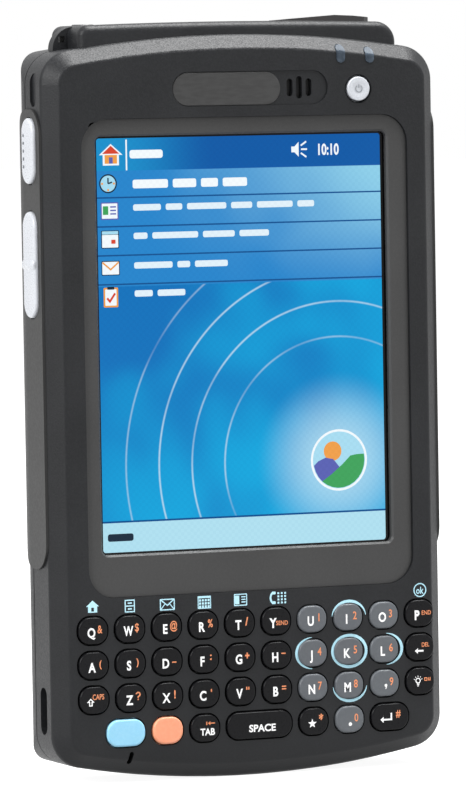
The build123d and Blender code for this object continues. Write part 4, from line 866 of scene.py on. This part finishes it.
class TERMINAL_OT_face_signs(bpy.types.Operator):
    """Print the signs over the top row and the crescents round the number keys."""

    bl_idname = "terminal.face_signs"
    bl_label = "Signs on the face"

    def execute(self, context):
        sizes = context.scene.terminal_prints
        # Screen-printed pale blue ink on the textured face.
        pale_ink = print_material("screen_print_pale_blue", "#b0dfef", "#bde8f5")
        depth = FACE_Y - sizes.lift
        signs = []

        def put(x, z, *parts):
            signs.extend((part, x, z, pale_ink) for part in parts)

        house = filled(
            [(-0.85, -0.95), (0.85, -0.95), (0.85, 0.1), (1.2, 0.1), (0, 1.15), (-1.2, 0.1), (-0.85, 0.1)],
            [(-0.25, -0.75), (0.25, -0.75), (0.25, -0.1), (-0.25, -0.1)],
        )
        put(-30.06, 31.15, house)
        put(-23.13, 31.02, outline(1.9, 2.2, 0.12, 0.2), stroke(((-0.85, 0), (0.85, 0)), 0.2),
            bar(0.8, 0.26, 0, 0.5), bar(0.8, 0.26, 0, -0.5))
        put(-16.11, 30.93, outline(2.8, 2.0, 0.1, 0.2), stroke(((-1.3, 0.9), (0, -0.15), (1.3, 0.9)), 0.2),
            stroke(((-1.3, -0.9), (-0.45, 0.1)), 0.16), stroke(((1.3, -0.9), (0.45, 0.1)), 0.16))
        put(-9.15, 30.98, outline(2.5, 2.2, 0.1, 0.16), bar(2.4, 0.36, 0, 0.9))
        put(-2.3, 31.08, outline(2.5, 2.1, 0.12, 0.18), bar(0.8, 1.5, -0.65, 0),
            *(bar(0.85, 0.2, 0.55, up) for up in (0.5, 0.05, -0.4)))
        handset = [(0.76 * x - 0.05, y) for x, y in arc_points(1.0, 120, 12, 11)]
        put(4.2, 31.1, stroke(handset, 0.34),
            *(bar(0.75, 0.5, -0.2, up, 0.15) for up in (0.85, -0.85)))
        put(32.13, 31.11, annulus(1.25, 0.2), lettering("ok", 1.25, 0.8, 0.02))
        flat_piece("print_row_signs", signs, depth, "housing", "housing")

        pads = pads_tree(pale_ink)
        tree_piece("print_sign_pads", pads, (
            {"Centre": (-9.15 * MM, depth, 30.78 * MM), "Columns": 4, "Rows": 3, "Span X": 1.62 * MM,
             "Span Z": 1.08 * MM, "Pad X": 0.38 * MM, "Pad Z": 0.38 * MM},
            {"Centre": (5.55 * MM, depth, 31.05 * MM), "Columns": 3, "Rows": 4, "Span X": 1.3 * MM,
             "Span Z": 1.65 * MM, "Pad X": 0.34 * MM, "Pad Z": 0.34 * MM},
        ), pale_ink, "housing", "housing")

        arcs = crescent_tree(pale_ink)
        runs = []
        for key, start, sweep, taper in (
            ("i", 5, 170, 0.8), ("j", 95, 170, 0.8), ("k", 0, 360, 0.0), ("l", -85, 170, 0.8),
            ("m", 185, 170, 0.8),
        ):
            low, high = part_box("key_" + key)
            x, z = (low.x + high.x) / 2 + 0.25 * MM, (low.z + high.z) / 2
            runs.append({
                "Centre": (x, depth, z), "Radius X": (sizes.ring_width - sizes.ring_band) / 2,
                "Radius Z": (sizes.ring_height - sizes.ring_band) / 2, "Start": radians(start),
                "Sweep": radians(sweep), "Band": sizes.ring_band, "Taper": taper,
            })
        tree_piece("print_number_crescents", arcs, runs, pale_ink, "housing", "housing")
        return {"FINISHED"}


def close_lit(tree, place, colour, between, drift):
    """Put the end of a lit, smooth surface on a material's tree, with the panel's faint dot raster in it."""
    dots = add_node(tree, "ShaderNodeTexChecker", {
        "Vector": place, "Color1": (1, 1, 1, 1), "Color2": between, "Scale": 1 / RASTER,
    }).outputs[0]
    shown = add_node(tree, "ShaderNodeMix", {
        0: 1.0, 6: colour, 7: dots,
    }, data_type="RGBA", blend_type="MULTIPLY")
    close_material(tree, {
        "Base Color": (0.0, 0.0, 0.0, 1.0), "Roughness": band(tree, drift, 0.3, 0.7, 0.14, 0.2), "IOR": 1.5,
        "Specular IOR Level": 0.1, "Emission Color": shown.outputs[2], "Emission Strength": 1.0,
    })


def lit(name, code):
    """A lit area of the picture in one colour."""
    material, tree = new_material(name)
    place = add_node(tree, "ShaderNodeTexCoord").outputs["Object"]
    drift = add_node(tree, "ShaderNodeTexNoise", {"Vector": place, "Scale": 1 / (3.0 * MM)}).outputs[0]
    close_lit(tree, place, linear(code), (0.965, 0.965, 0.965, 1), drift)
    return material


def picture_material(screen):
    """The lit picture: title bar, list rows, a soft blue field with ripples, and the menu bar."""
    material, tree = new_material("lcd_lit_picture")
    place = add_node(tree, "ShaderNodeTexCoord").outputs["Object"]
    axes = add_node(tree, "ShaderNodeSeparateXYZ", {0: place})
    x, z = axes.outputs[0], axes.outputs[2]
    left, right = screen.middle_x - screen.width / 2, screen.middle_x + screen.width / 2
    foot = screen.middle_z - screen.height / 2
    rows_z = screen.bar_z - 4 * screen.row_pitch
    across = add_node(tree, "ShaderNodeMapRange", {0: x, 1: left, 2: right}).outputs[0]
    cloud = add_node(tree, "ShaderNodeTexNoise", {
        "Vector": place, "Scale": 1 / (16 * MM), "Detail": 1.0,
    }).outputs[0]

    # The field: deep blue on the left, cyan towards the lower right, with a pale glow round the motif.
    fall = add_node(tree, "ShaderNodeMapRange", {0: z, 1: rows_z, 2: foot}).outputs[0]
    slope = sum_of(tree, "ADD", sum_of(tree, "MULTIPLY", across, 0.55), sum_of(tree, "MULTIPLY", fall, 0.45))
    slope = sum_of(tree, "ADD", slope, band(tree, cloud, 0.25, 0.75, -0.22, 0.22))
    field = blend(tree, band(tree, slope, 0.1, 0.85), linear("#0572bc"), linear("#02a8df"))
    spot = Vector((MOTIF[0] * MM, 0, MOTIF[1] * MM))
    flat = add_node(tree, "ShaderNodeCombineXYZ", {0: x, 2: z}).outputs[0]
    away = add_node(tree, "ShaderNodeVectorMath", {0: flat, 1: spot}, operation="DISTANCE").outputs["Value"]
    field = blend(tree, band(tree, away, 3 * MM, 16 * MM, 0.6, 0.0), field, linear("#cdeef8"))
    # Ripples 6.2 mm apart, which fade in and out between 16 and 46 mm from the motif.
    pitch = 6.2 * MM
    ripple = sum_of(tree, "FRACT", sum_of(tree, "DIVIDE", away, pitch))
    ripple = band(tree, sum_of(tree, "ABSOLUTE", sum_of(tree, "SUBTRACT", ripple, 0.5)), 0.0, 0.045, 1.0, 0.0)
    inner, outer = band(tree, away, 16 * MM, 24 * MM), band(tree, away, 36 * MM, 46 * MM, 1.0, 0.0)
    reach = sum_of(tree, "MULTIPLY", inner, outer)
    reach = sum_of(tree, "MULTIPLY", reach, band(tree, cloud, 0.35, 0.6, 0.1, 0.7))
    ripple = sum_of(tree, "MULTIPLY", ripple, reach)
    field = blend(tree, ripple, field, linear("#cfe9f6"))

    # The rows: paler to the right, most of all in the upper ones.
    rise = add_node(tree, "ShaderNodeMapRange", {
        0: z, 1: rows_z, 2: screen.bar_z, 3: 0.25, 4: 1.0,
    }).outputs[0]
    glow = sum_of(tree, "MULTIPLY", across, rise)
    glow = sum_of(tree, "ADD", glow, band(tree, cloud, 0.3, 0.7, -0.08, 0.08))
    rows = blend(tree, band(tree, glow, 0.15, 1.05), linear("#2285cc"), linear("#8fd0ea"))
    body = blend(tree, band(tree, z, rows_z - 0.1 * MM, rows_z + 0.1 * MM), field, rows)

    # The title bar: brighter at its left end.
    title = blend(tree, band(tree, across, 0.05, 0.42, 1.0, 0.0), (*screen.deep, 1.0), linear("#1590cc"))
    edge = 0.05 * MM
    body = blend(tree, band(tree, z, screen.bar_z - edge, screen.bar_z + edge), body, title)
    under = band(tree, z, screen.foot_z - edge, screen.foot_z + edge, 1.0, 0.0)
    body = blend(tree, under, body, (*screen.pale, 1.0))
    close_lit(tree, place, body, (0.955, 0.965, 0.975, 1), cloud)
    return material


class TERMINAL_OT_screen(bpy.types.Operator):
    """Lay the lit picture on the glass, with its bars, signs and dividing lines."""

    bl_idname = "terminal.screen"
    bl_label = "Screen picture"

    def execute(self, context):
        screen = context.scene.terminal_screen
        picture = picture_material(screen)
        # Three layers: the picture, the dividing lines and the signs.
        picture_y, lines_y, signs_y = (GLASS_Y - layer * 0.005 * MM for layer in (2, 3, 4))
        panel = plate(screen.width / MM, screen.height / MM, 0.5)
        whole = [(panel, screen.middle_x / MM, screen.middle_z / MM, picture)]
        flat_piece("screen_picture", whole, picture_y, "housing", "display")
        white = lit("lcd_lit_white", "#f4fbff")
        soft = lit("lcd_lit_soft_white", "#e3f2fb")
        orange = lit("lcd_lit_orange", "#f0a04a")
        red = lit("lcd_lit_red", "#d8452e")
        dark = lit("lcd_lit_dark", "#12283c")
        green = lit("lcd_lit_green", "#3fa35c")
        violet = lit("lcd_lit_violet", "#5a62b4")
        sky = lit("lcd_lit_sky", "#a8ddf2")
        parts = []

        def put(x, z, *shapes):
            parts.extend((shape, x, z, material) for shape, material in shapes)

        # Words are shown as bars, each as long as a word.
        words = (
            (103.8, 1.5, white, (6.6, 4.4, 3.2, 4.6)),
            (99.75, 1.1, soft, (5.2, 3.1, 7.4, 4.0, 6.8, 3.2)),
            (94.85, 1.1, soft, (2.6, 8.6, 6.0, 5.6)),
            (89.75, 1.1, soft, (7.2, 2.4, 6.2)),
            (84.9, 1.1, soft, (3.4, 5.2)),
        )
        left_edge, gap = -20.5, 0.9
        for z, tall, material, lengths in words:
            x = left_edge
            for long in lengths:
                put(x + long / 2, z, (plate(long, tall, 0.35), material))
                x += long + gap
        put(-17.9, 108.95, (plate(6.2, 1.45, 0.45), white))
        put(-21.6, 108.85, (plate(0.28, 5.3, 0.05), white))
        put(-23.9, 42.8, (plate(4.8, 1.3, 0.4), dark))
        put(16.6, 109.17, (lettering("10:10", 1.95, 0.72, 0.03), white))
        # A small speaker with three rays.
        horn = [(-1.1, -0.5), (-0.5, -0.5), (0.3, -1.3), (0.3, 1.3), (-0.5, 0.5), (-1.1, 0.5)]
        rays = (((0.75, 0), (1.9, 0)), ((0.7, 0.65), (1.75, 1.35)), ((0.7, -0.65), (1.75, -1.35)))
        put(10.6, 109.2, (filled(horn), white), *((stroke(ray, 0.3), white) for ray in rays))
        # A house with a red roof, for the start sign.
        house = [(-1.5, -1.7), (1.5, -1.7), (1.5, 0.1), (2.2, 0.1), (0, 2.0), (-2.2, 0.1), (-1.5, 0.1)]
        roof = moved(filled([(-1.6, 0), (1.6, 0), (0, 1.4)]), 0, 0.3)
        wall, gate = bar(2.3, 1.5, 0, -0.65, 0.05), bar(0.7, 1.1, 0, -0.85, 0.05)
        put(-24.5, 108.8, (filled(house), white), (roof, red), (wall, orange), (gate, violet))
        # A clock.
        put(-25.1, 103.97, (disc(1.65), dark), (disc(1.4), sky),
            *((stroke(((0, 0), tip), 0.26), dark) for tip in ((0, 1.0), (0.75, 0.25))),
            *((moved(disc(0.2, 12), *spot), orange) for spot in ((0, -1.1), (-1.1, 0), (1.1, 0))))
        # A card with a picture's place and three lines.
        put(-24.9, 99.25, (plate(3.3, 3.0, 0.2), violet), (plate(2.9, 2.6, 0.1), white),
            (bar(1.0, 1.5, -0.75, 0.1, 0.1), green),
            *((bar(1.1, 0.25, 0.65, up, 0.05), violet) for up in (0.7, 0.1, -0.5)))
        # A month's sheet.
        put(-24.9, 94.35, (plate(3.3, 3.1, 0.2), dark), (bar(3.0, 2.2, 0, -0.3, 0.1), white),
            (bar(3.0, 0.55, 0, 1.15, 0.1), sky), (bar(0.8, 0.7, 0.6, -0.4, 0.1), red))
        # An envelope.
        put(-24.9, 89.4, (plate(3.4, 2.5, 0.2), dark), (plate(3.1, 2.2, 0.1), white),
            (stroke(((-1.5, 1.0), (0, -0.25), (1.5, 1.0)), 0.28), orange))
        # A ticked list.
        tick = stroke(((-0.7, -0.1), (-0.2, -0.7), (0.8, 0.7)), 0.38)
        put(-24.95, 84.35, (plate(2.7, 3.4, 0.2), orange), (plate(2.1, 2.8, 0.1), white),
            (bar(1.3, 0.5, 0, 1.6, 0.1), dark), (tick, red))
        # The motif: a sun over two hills in a round field.
        put(*MOTIF, (disc(5.4, 56), white), (disc(5.0, 56), sky), (moved(disc(1.7, 36), -1.2, 1.6), orange))
        left_hill = arc_points(4.9, 190, 13, 9) + [(0.9, -2.2), (-1.1, 0.2), (-2.6, 0.5), (-4.0, -0.1)]
        right_hill = arc_points(4.9, 228, 13, 12) + [(3.4, 0.9), (2.2, 0.7), (0.6, -0.8), (-1.4, -2.4)]
        put(*MOTIF, (filled(left_hill), violet), (filled(right_hill), green))
        flat_piece("screen_signs", parts, signs_y, "housing", "display")

        line = lit("lcd_lit_line", "#0a518f")
        pads = pads_tree(line)
        low_row = screen.bar_z - 4 * screen.row_pitch + 0.35 * MM
        top_row = screen.bar_z - screen.row_pitch + 0.4 * MM
        tree_piece("screen_dividers", pads, ({
            "Centre": (screen.middle_x, lines_y, (top_row + low_row) / 2),
            "Columns": 2, "Rows": 4, "Span X": screen.width / 2, "Span Z": 3 * screen.row_pitch,
            "Pad X": screen.width / 2, "Pad Z": 0.26 * MM,
        }, {
            "Centre": (screen.middle_x, lines_y, screen.foot_z), "Columns": 2, "Rows": 2,
            "Span X": screen.width / 2, "Span Z": 0.1 * MM, "Pad X": screen.width / 2, "Pad Z": 0.22 * MM,
        }), line, "housing", "display")
        return {"FINISHED"}


class TERMINAL_OT_plate(bpy.types.Operator):
    """Set the bare plate in the recess over the screen."""

    bl_idname = "terminal.plate"
    bl_label = "Bare plate"

    def execute(self, context):
        # Polycarbonate plate with a brushed look, bare: lighter than the shell. Its grain runs across the
        # terminal, 2 mm long and 0.5 mm wide.
        material, tree = new_material("polycarbonate_bare_plate")
        place = add_node(tree, "ShaderNodeTexCoord").outputs["Object"]
        long = add_node(tree, "ShaderNodeMapping", {"Vector": place, "Scale": (160, 700, 700)}).outputs[0]
        grain = add_node(tree, "ShaderNodeTexNoise", {"Vector": long, "Scale": 3.0, "Detail": 3.0}).outputs[0]
        relief = add_node(tree, "ShaderNodeBump", {"Height": grain, "Strength": 1.0, "Distance": 0.003 * MM})
        close_material(tree, {
            "Base Color": blend(tree, band(tree, grain, 0.3, 0.7), linear("#2f2f2f"), linear("#363636")),
            "Roughness": band(tree, grain, 0.3, 0.7, 0.34, 0.46), "IOR": 1.58, "Specular IOR Level": 0.25,
            "Normal": relief.outputs[0],
        })
        middle_x, middle_z, width, height, recess = -3.25, 119.95, 20.3, 5.75, 0.3
        # It stands on the recess's floor, and its front edge is rounded in two steps.
        rings = [
            [
                ((middle_x + x) * MM, FACE_Y + (recess - rise) * MM, (middle_z + z) * MM)
                for x, z in ring_points(width - 2 * inset, height - 2 * inset, height / 2 - inset - APART, 12)
            ]
            for rise, inset in ((0.0, 0.0), (0.14, 0.0), (0.2, 0.1), (0.22, 0.22))
        ]
        mesh_piece("bare_plate", *loft(rings), [material], "housing", "bezel")
        return {"FINISHED"}


class TERMINAL_OT_button_marks(bpy.types.Operator):
    """Put the mark on the power button, the pips on the scan button and the saddle on the rocker."""

    bl_idname = "terminal.button_marks"
    bl_label = "Marks of the buttons"

    def execute(self, context):
        # Gray pad print.
        gray_ink = print_material("pad_print_gray", "#8d9196", "#999da2")
        low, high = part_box("power_button")
        x, z = (low.x + high.x) / 2 / MM, (low.z + high.z) / 2 / MM
        line = 0.2
        flat_piece("print_power_button", [
            (stroke(arc_points(0.62, 125, 29, 11), line), x, z, gray_ink),
            (stroke(((0, 0.1), (0, 0.75)), line), x, z, gray_ink),
        ], low.y - context.scene.terminal_prints.lift, "power_button", "light_button")

        low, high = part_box("scan_button")
        # Low pips, moulded with the button.
        pip = moulded("abs_button_pips", "#5d6166", "#6b6f74", 0.3, 0.003, (0.35, 0.45), {"IOR": 1.5})
        tree_piece("scan_button_pips", pips_tree(pip), ({
            "Centre": (low.x, (low.y + high.y) / 2 + 1.4 * MM, (low.z + high.z) / 2), "Count": 5,
            "Pitch": 1.35 * MM, "Radius": 0.32 * MM, "Height": 0.12 * MM,
        },), pip, "scan_button", "light_button", smooth=True)

        # A rounded saddle over the rocker's ridge, moulded with it. Its rings climb the rocker, and each
        # runs over the outer face from the back edge to the front one. The crest and the seat are half
        # outlines in mm, across the rocker and out of its face.
        low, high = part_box("rocker_button")
        middle_y, middle_z, face_x = (low.y + high.y) / 2, (low.z + high.z) / 2, low.x + 0.3 * MM
        crest = ((2.74, -0.45), (2.74, 0.0), (2.66, 0.19), (2.45, 0.3))
        seat = ((2.68, -0.5), (2.66, -0.38), (2.55, -0.2), (2.3, -0.06))
        steps, half_height = 8, 0.95
        rings = []
        for step in range(-steps, steps + 1):
            swell = 1 - (step / steps) ** 2
            side = [(a + (c - a) * swell, b + (d - b) * swell) for (c, d), (a, b) in zip(crest, seat)]
            loop = side + [(-across, out) for across, out in reversed(side)] + [(-2.6, -0.8), (2.6, -0.8)]
            rings.append([
                (face_x - out * MM, middle_y + across * MM, middle_z + step / steps * half_height * MM)
                for across, out in loop
            ])
        mesh_piece(
            "rocker_saddle", *loft(rings), [bpy.data.materials["abs_pearl_silver_paint"]], "rocker_button",
            "light_button", smooth=True,
        )
        return {"FINISHED"}


class TERMINAL_OT_hole_shade(bpy.types.Operator):
    """Lay thin black pieces in the tether hole and the two cradle slots, as painted shade where the holes are
    in shadow.
    """

    bl_idname = "terminal.linings"
    bl_label = "Painted hole shade"

    def execute(self, context):
        # Painted shade: matt black pieces laid in the tether hole and the cradle slots, where there is only
        # shadow, so that they read dark.
        black = moulded("painted_hole_shade_black", "#050505", "#080808", 0.4, 0.002, (0.7, 0.8), {
            "IOR": 1.5, "Specular IOR Level": 0.1,
        })
        # A thin black tube along the walls of the tether hole, painted shade.
        middle_x, middle_z, outer, inner, front, back = -30.55, 128.95, 1.09, 1.01, -0.04, 2.14
        sleeve = [
            [
                ((middle_x + x) * MM, y * MM, (middle_z + z) * MM)
                for x, z in ring_points(width, width, 0.02, 1)
            ]
            for width, y in ((outer, front), (inner, front), (inner, back), (outer, back))
        ]
        mesh_piece("tether_hole_painted_shade", *loft(sleeve, round_trip=True), [black], "housing", "grip")
        # A thin black plate just above the floor of each cradle slot, painted shade.
        middle_y, middle_z, depth, height, corner, floor, face = -2.45, 13.0, 2.9, 8.1, 1.4, 35.71, 35.8
        for side, name in ((-1, "left"), (1, "right")):
            slot_shade = [
                [
                    (side * x * MM, (middle_y + side * y) * MM, (middle_z + z) * MM)
                    for y, z in ring_points(depth, height, corner)
                ]
                for x in (floor, face)
            ]
            mesh_piece("cradle_slot_painted_shade_" + name, *loft(slot_shade), [black], "housing", "grip")
        return {"FINISHED"}


def seen_directly(tree):
    """1 where the camera sees something straight, in a reflection or through glass, and 0 for other light."""
    ray = add_node(tree, "ShaderNodeLightPath")
    direct = sum_of(tree, "MAXIMUM", ray.outputs["Is Camera Ray"], ray.outputs["Is Glossy Ray"])
    return sum_of(tree, "MAXIMUM", direct, ray.outputs["Is Transmission Ray"])


class TERMINAL_OT_studio(bpy.types.Operator):
    """Place the camera, the white floor, the lamps and the white room."""

    bl_idname = "terminal.studio"
    bl_label = "Studio"

    def execute(self, context):
        stage = context.scene.terminal_stage
        scene = context.scene
        scene.view_settings.view_transform = "Standard"
        data = bpy.data.cameras.new("camera")
        data.lens = stage.lens
        data.sensor_width = 36
        data.clip_start = 0.01
        # Held to the left of the terminal, at the height of its plate, and turned towards it.
        camera = bpy.data.objects.new("camera", data)
        camera.matrix_world = Matrix((
            (0.91886, 0.03591, -0.39295, -0.410857),
            (-0.39423, 0.04117, -0.91809, -0.961265),
            (-0.01679, 0.99851, 0.05199, 0.119540),
            (0, 0, 0, 1),
        ))
        scene.collection.objects.link(camera)
        scene.camera = camera

        lamp_width, lit_spot = 0.7, Vector((0, 0, 0.07))
        for name, place, power in (
            ("main_lamp", (-1.0, -0.35, 0.62), stage.key),
            ("top_lamp", (0.30, -0.08, 1.05), stage.top),
            ("fill_lamp", (0.85, -0.95, 0.35), stage.fill),
        ):
            lamp = bpy.data.lights.new(name, "AREA")
            lamp.shape = "SQUARE"
            lamp.size = lamp_width
            lamp.energy = power
            holder = bpy.data.objects.new(name, lamp)
            turn = (lit_spot - Vector(place)).to_track_quat("-Z", "Y")
            holder.matrix_world = Matrix.Translation(place) @ turn.to_matrix().to_4x4()
            scene.collection.objects.link(holder)

        # Matt white paper floor: white to the camera and in reflections, and still darker in a shadow.
        paper, tree = new_material("white_paper_floor")
        paper_light = 0.93
        close_material(tree, {
            "Base Color": (0.3, 0.3, 0.3, 1.0), "Roughness": 0.9, "Emission Color": (1.0, 1.0, 1.0, 1.0),
            "Specular IOR Level": 0.0,
            "Emission Strength": sum_of(tree, "MULTIPLY", seen_directly(tree), paper_light),
        })
        mesh = bpy.data.meshes.new("floor")
        mesh.from_pydata([(-6, -4, 0), (6, -4, 0), (6, 8, 0), (-6, 8, 0)], [], [(0, 1, 2, 3)])
        mesh.materials.append(paper)
        floor = bpy.data.objects.new("floor", mesh)
        scene.collection.objects.link(floor)

        world = bpy.data.worlds.new("white_room")
        world.use_nodes = True
        tree = world.node_tree
        tree.nodes.clear()
        strength = add_node(tree, "ShaderNodeMix", {
            0: seen_directly(tree), 2: stage.air, 3: 1.0,
        }, data_type="FLOAT").outputs[0]
        room = add_node(tree, "ShaderNodeBackground", {"Color": (1, 1, 1, 1), "Strength": strength})
        add_node(tree, "ShaderNodeOutputWorld", {"Surface": room.outputs[0]})
        scene.world = world
        return {"FINISHED"}


STEPS = (
    TERMINAL_OT_studio, TERMINAL_OT_shell, TERMINAL_OT_controls, TERMINAL_OT_inside,
    TERMINAL_OT_letters, TERMINAL_OT_face_signs, TERMINAL_OT_screen, TERMINAL_OT_plate,
    TERMINAL_OT_button_marks, TERMINAL_OT_hole_shade,
)
GROUPS = (
    (TerminalPrints, "terminal_prints"), (TerminalScreen, "terminal_screen"),
    (TerminalStage, "terminal_stage"),
)


class VIEW3D_PT_terminal(bpy.types.Panel):
    """The terminal's sizes, and a button for each piece or group of pieces."""

    bl_idname = "VIEW3D_PT_terminal"
    bl_label = "Barcode terminal"
    bl_space_type = "VIEW_3D"
    bl_region_type = "UI"
    bl_category = "Terminal"

    def draw(self, context):
        for group, place in GROUPS:
            box = self.layout.box()
            for name in group.__annotations__:
                box.prop(getattr(context.scene, place), name)
        for step in STEPS:
            self.layout.operator(step.bl_idname)


def register():
    for group, place in GROUPS:
        bpy.utils.register_class(group)
        setattr(bpy.types.Scene, place, bpy.props.PointerProperty(type=group))
    for step in (*STEPS, VIEW3D_PT_terminal):
        bpy.utils.register_class(step)


def unregister():
    for step in reversed((*STEPS, VIEW3D_PT_terminal)):
        bpy.utils.unregister_class(step)
    for group, place in reversed(GROUPS):
        delattr(bpy.types.Scene, place)
        bpy.utils.unregister_class(group)


def main():
    """Register everything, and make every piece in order."""
    register()
    for step in STEPS:
        group, name = step.bl_idname.split(".")
        getattr(getattr(bpy.ops, group), name)()


if __name__ == "__main__":
    main()
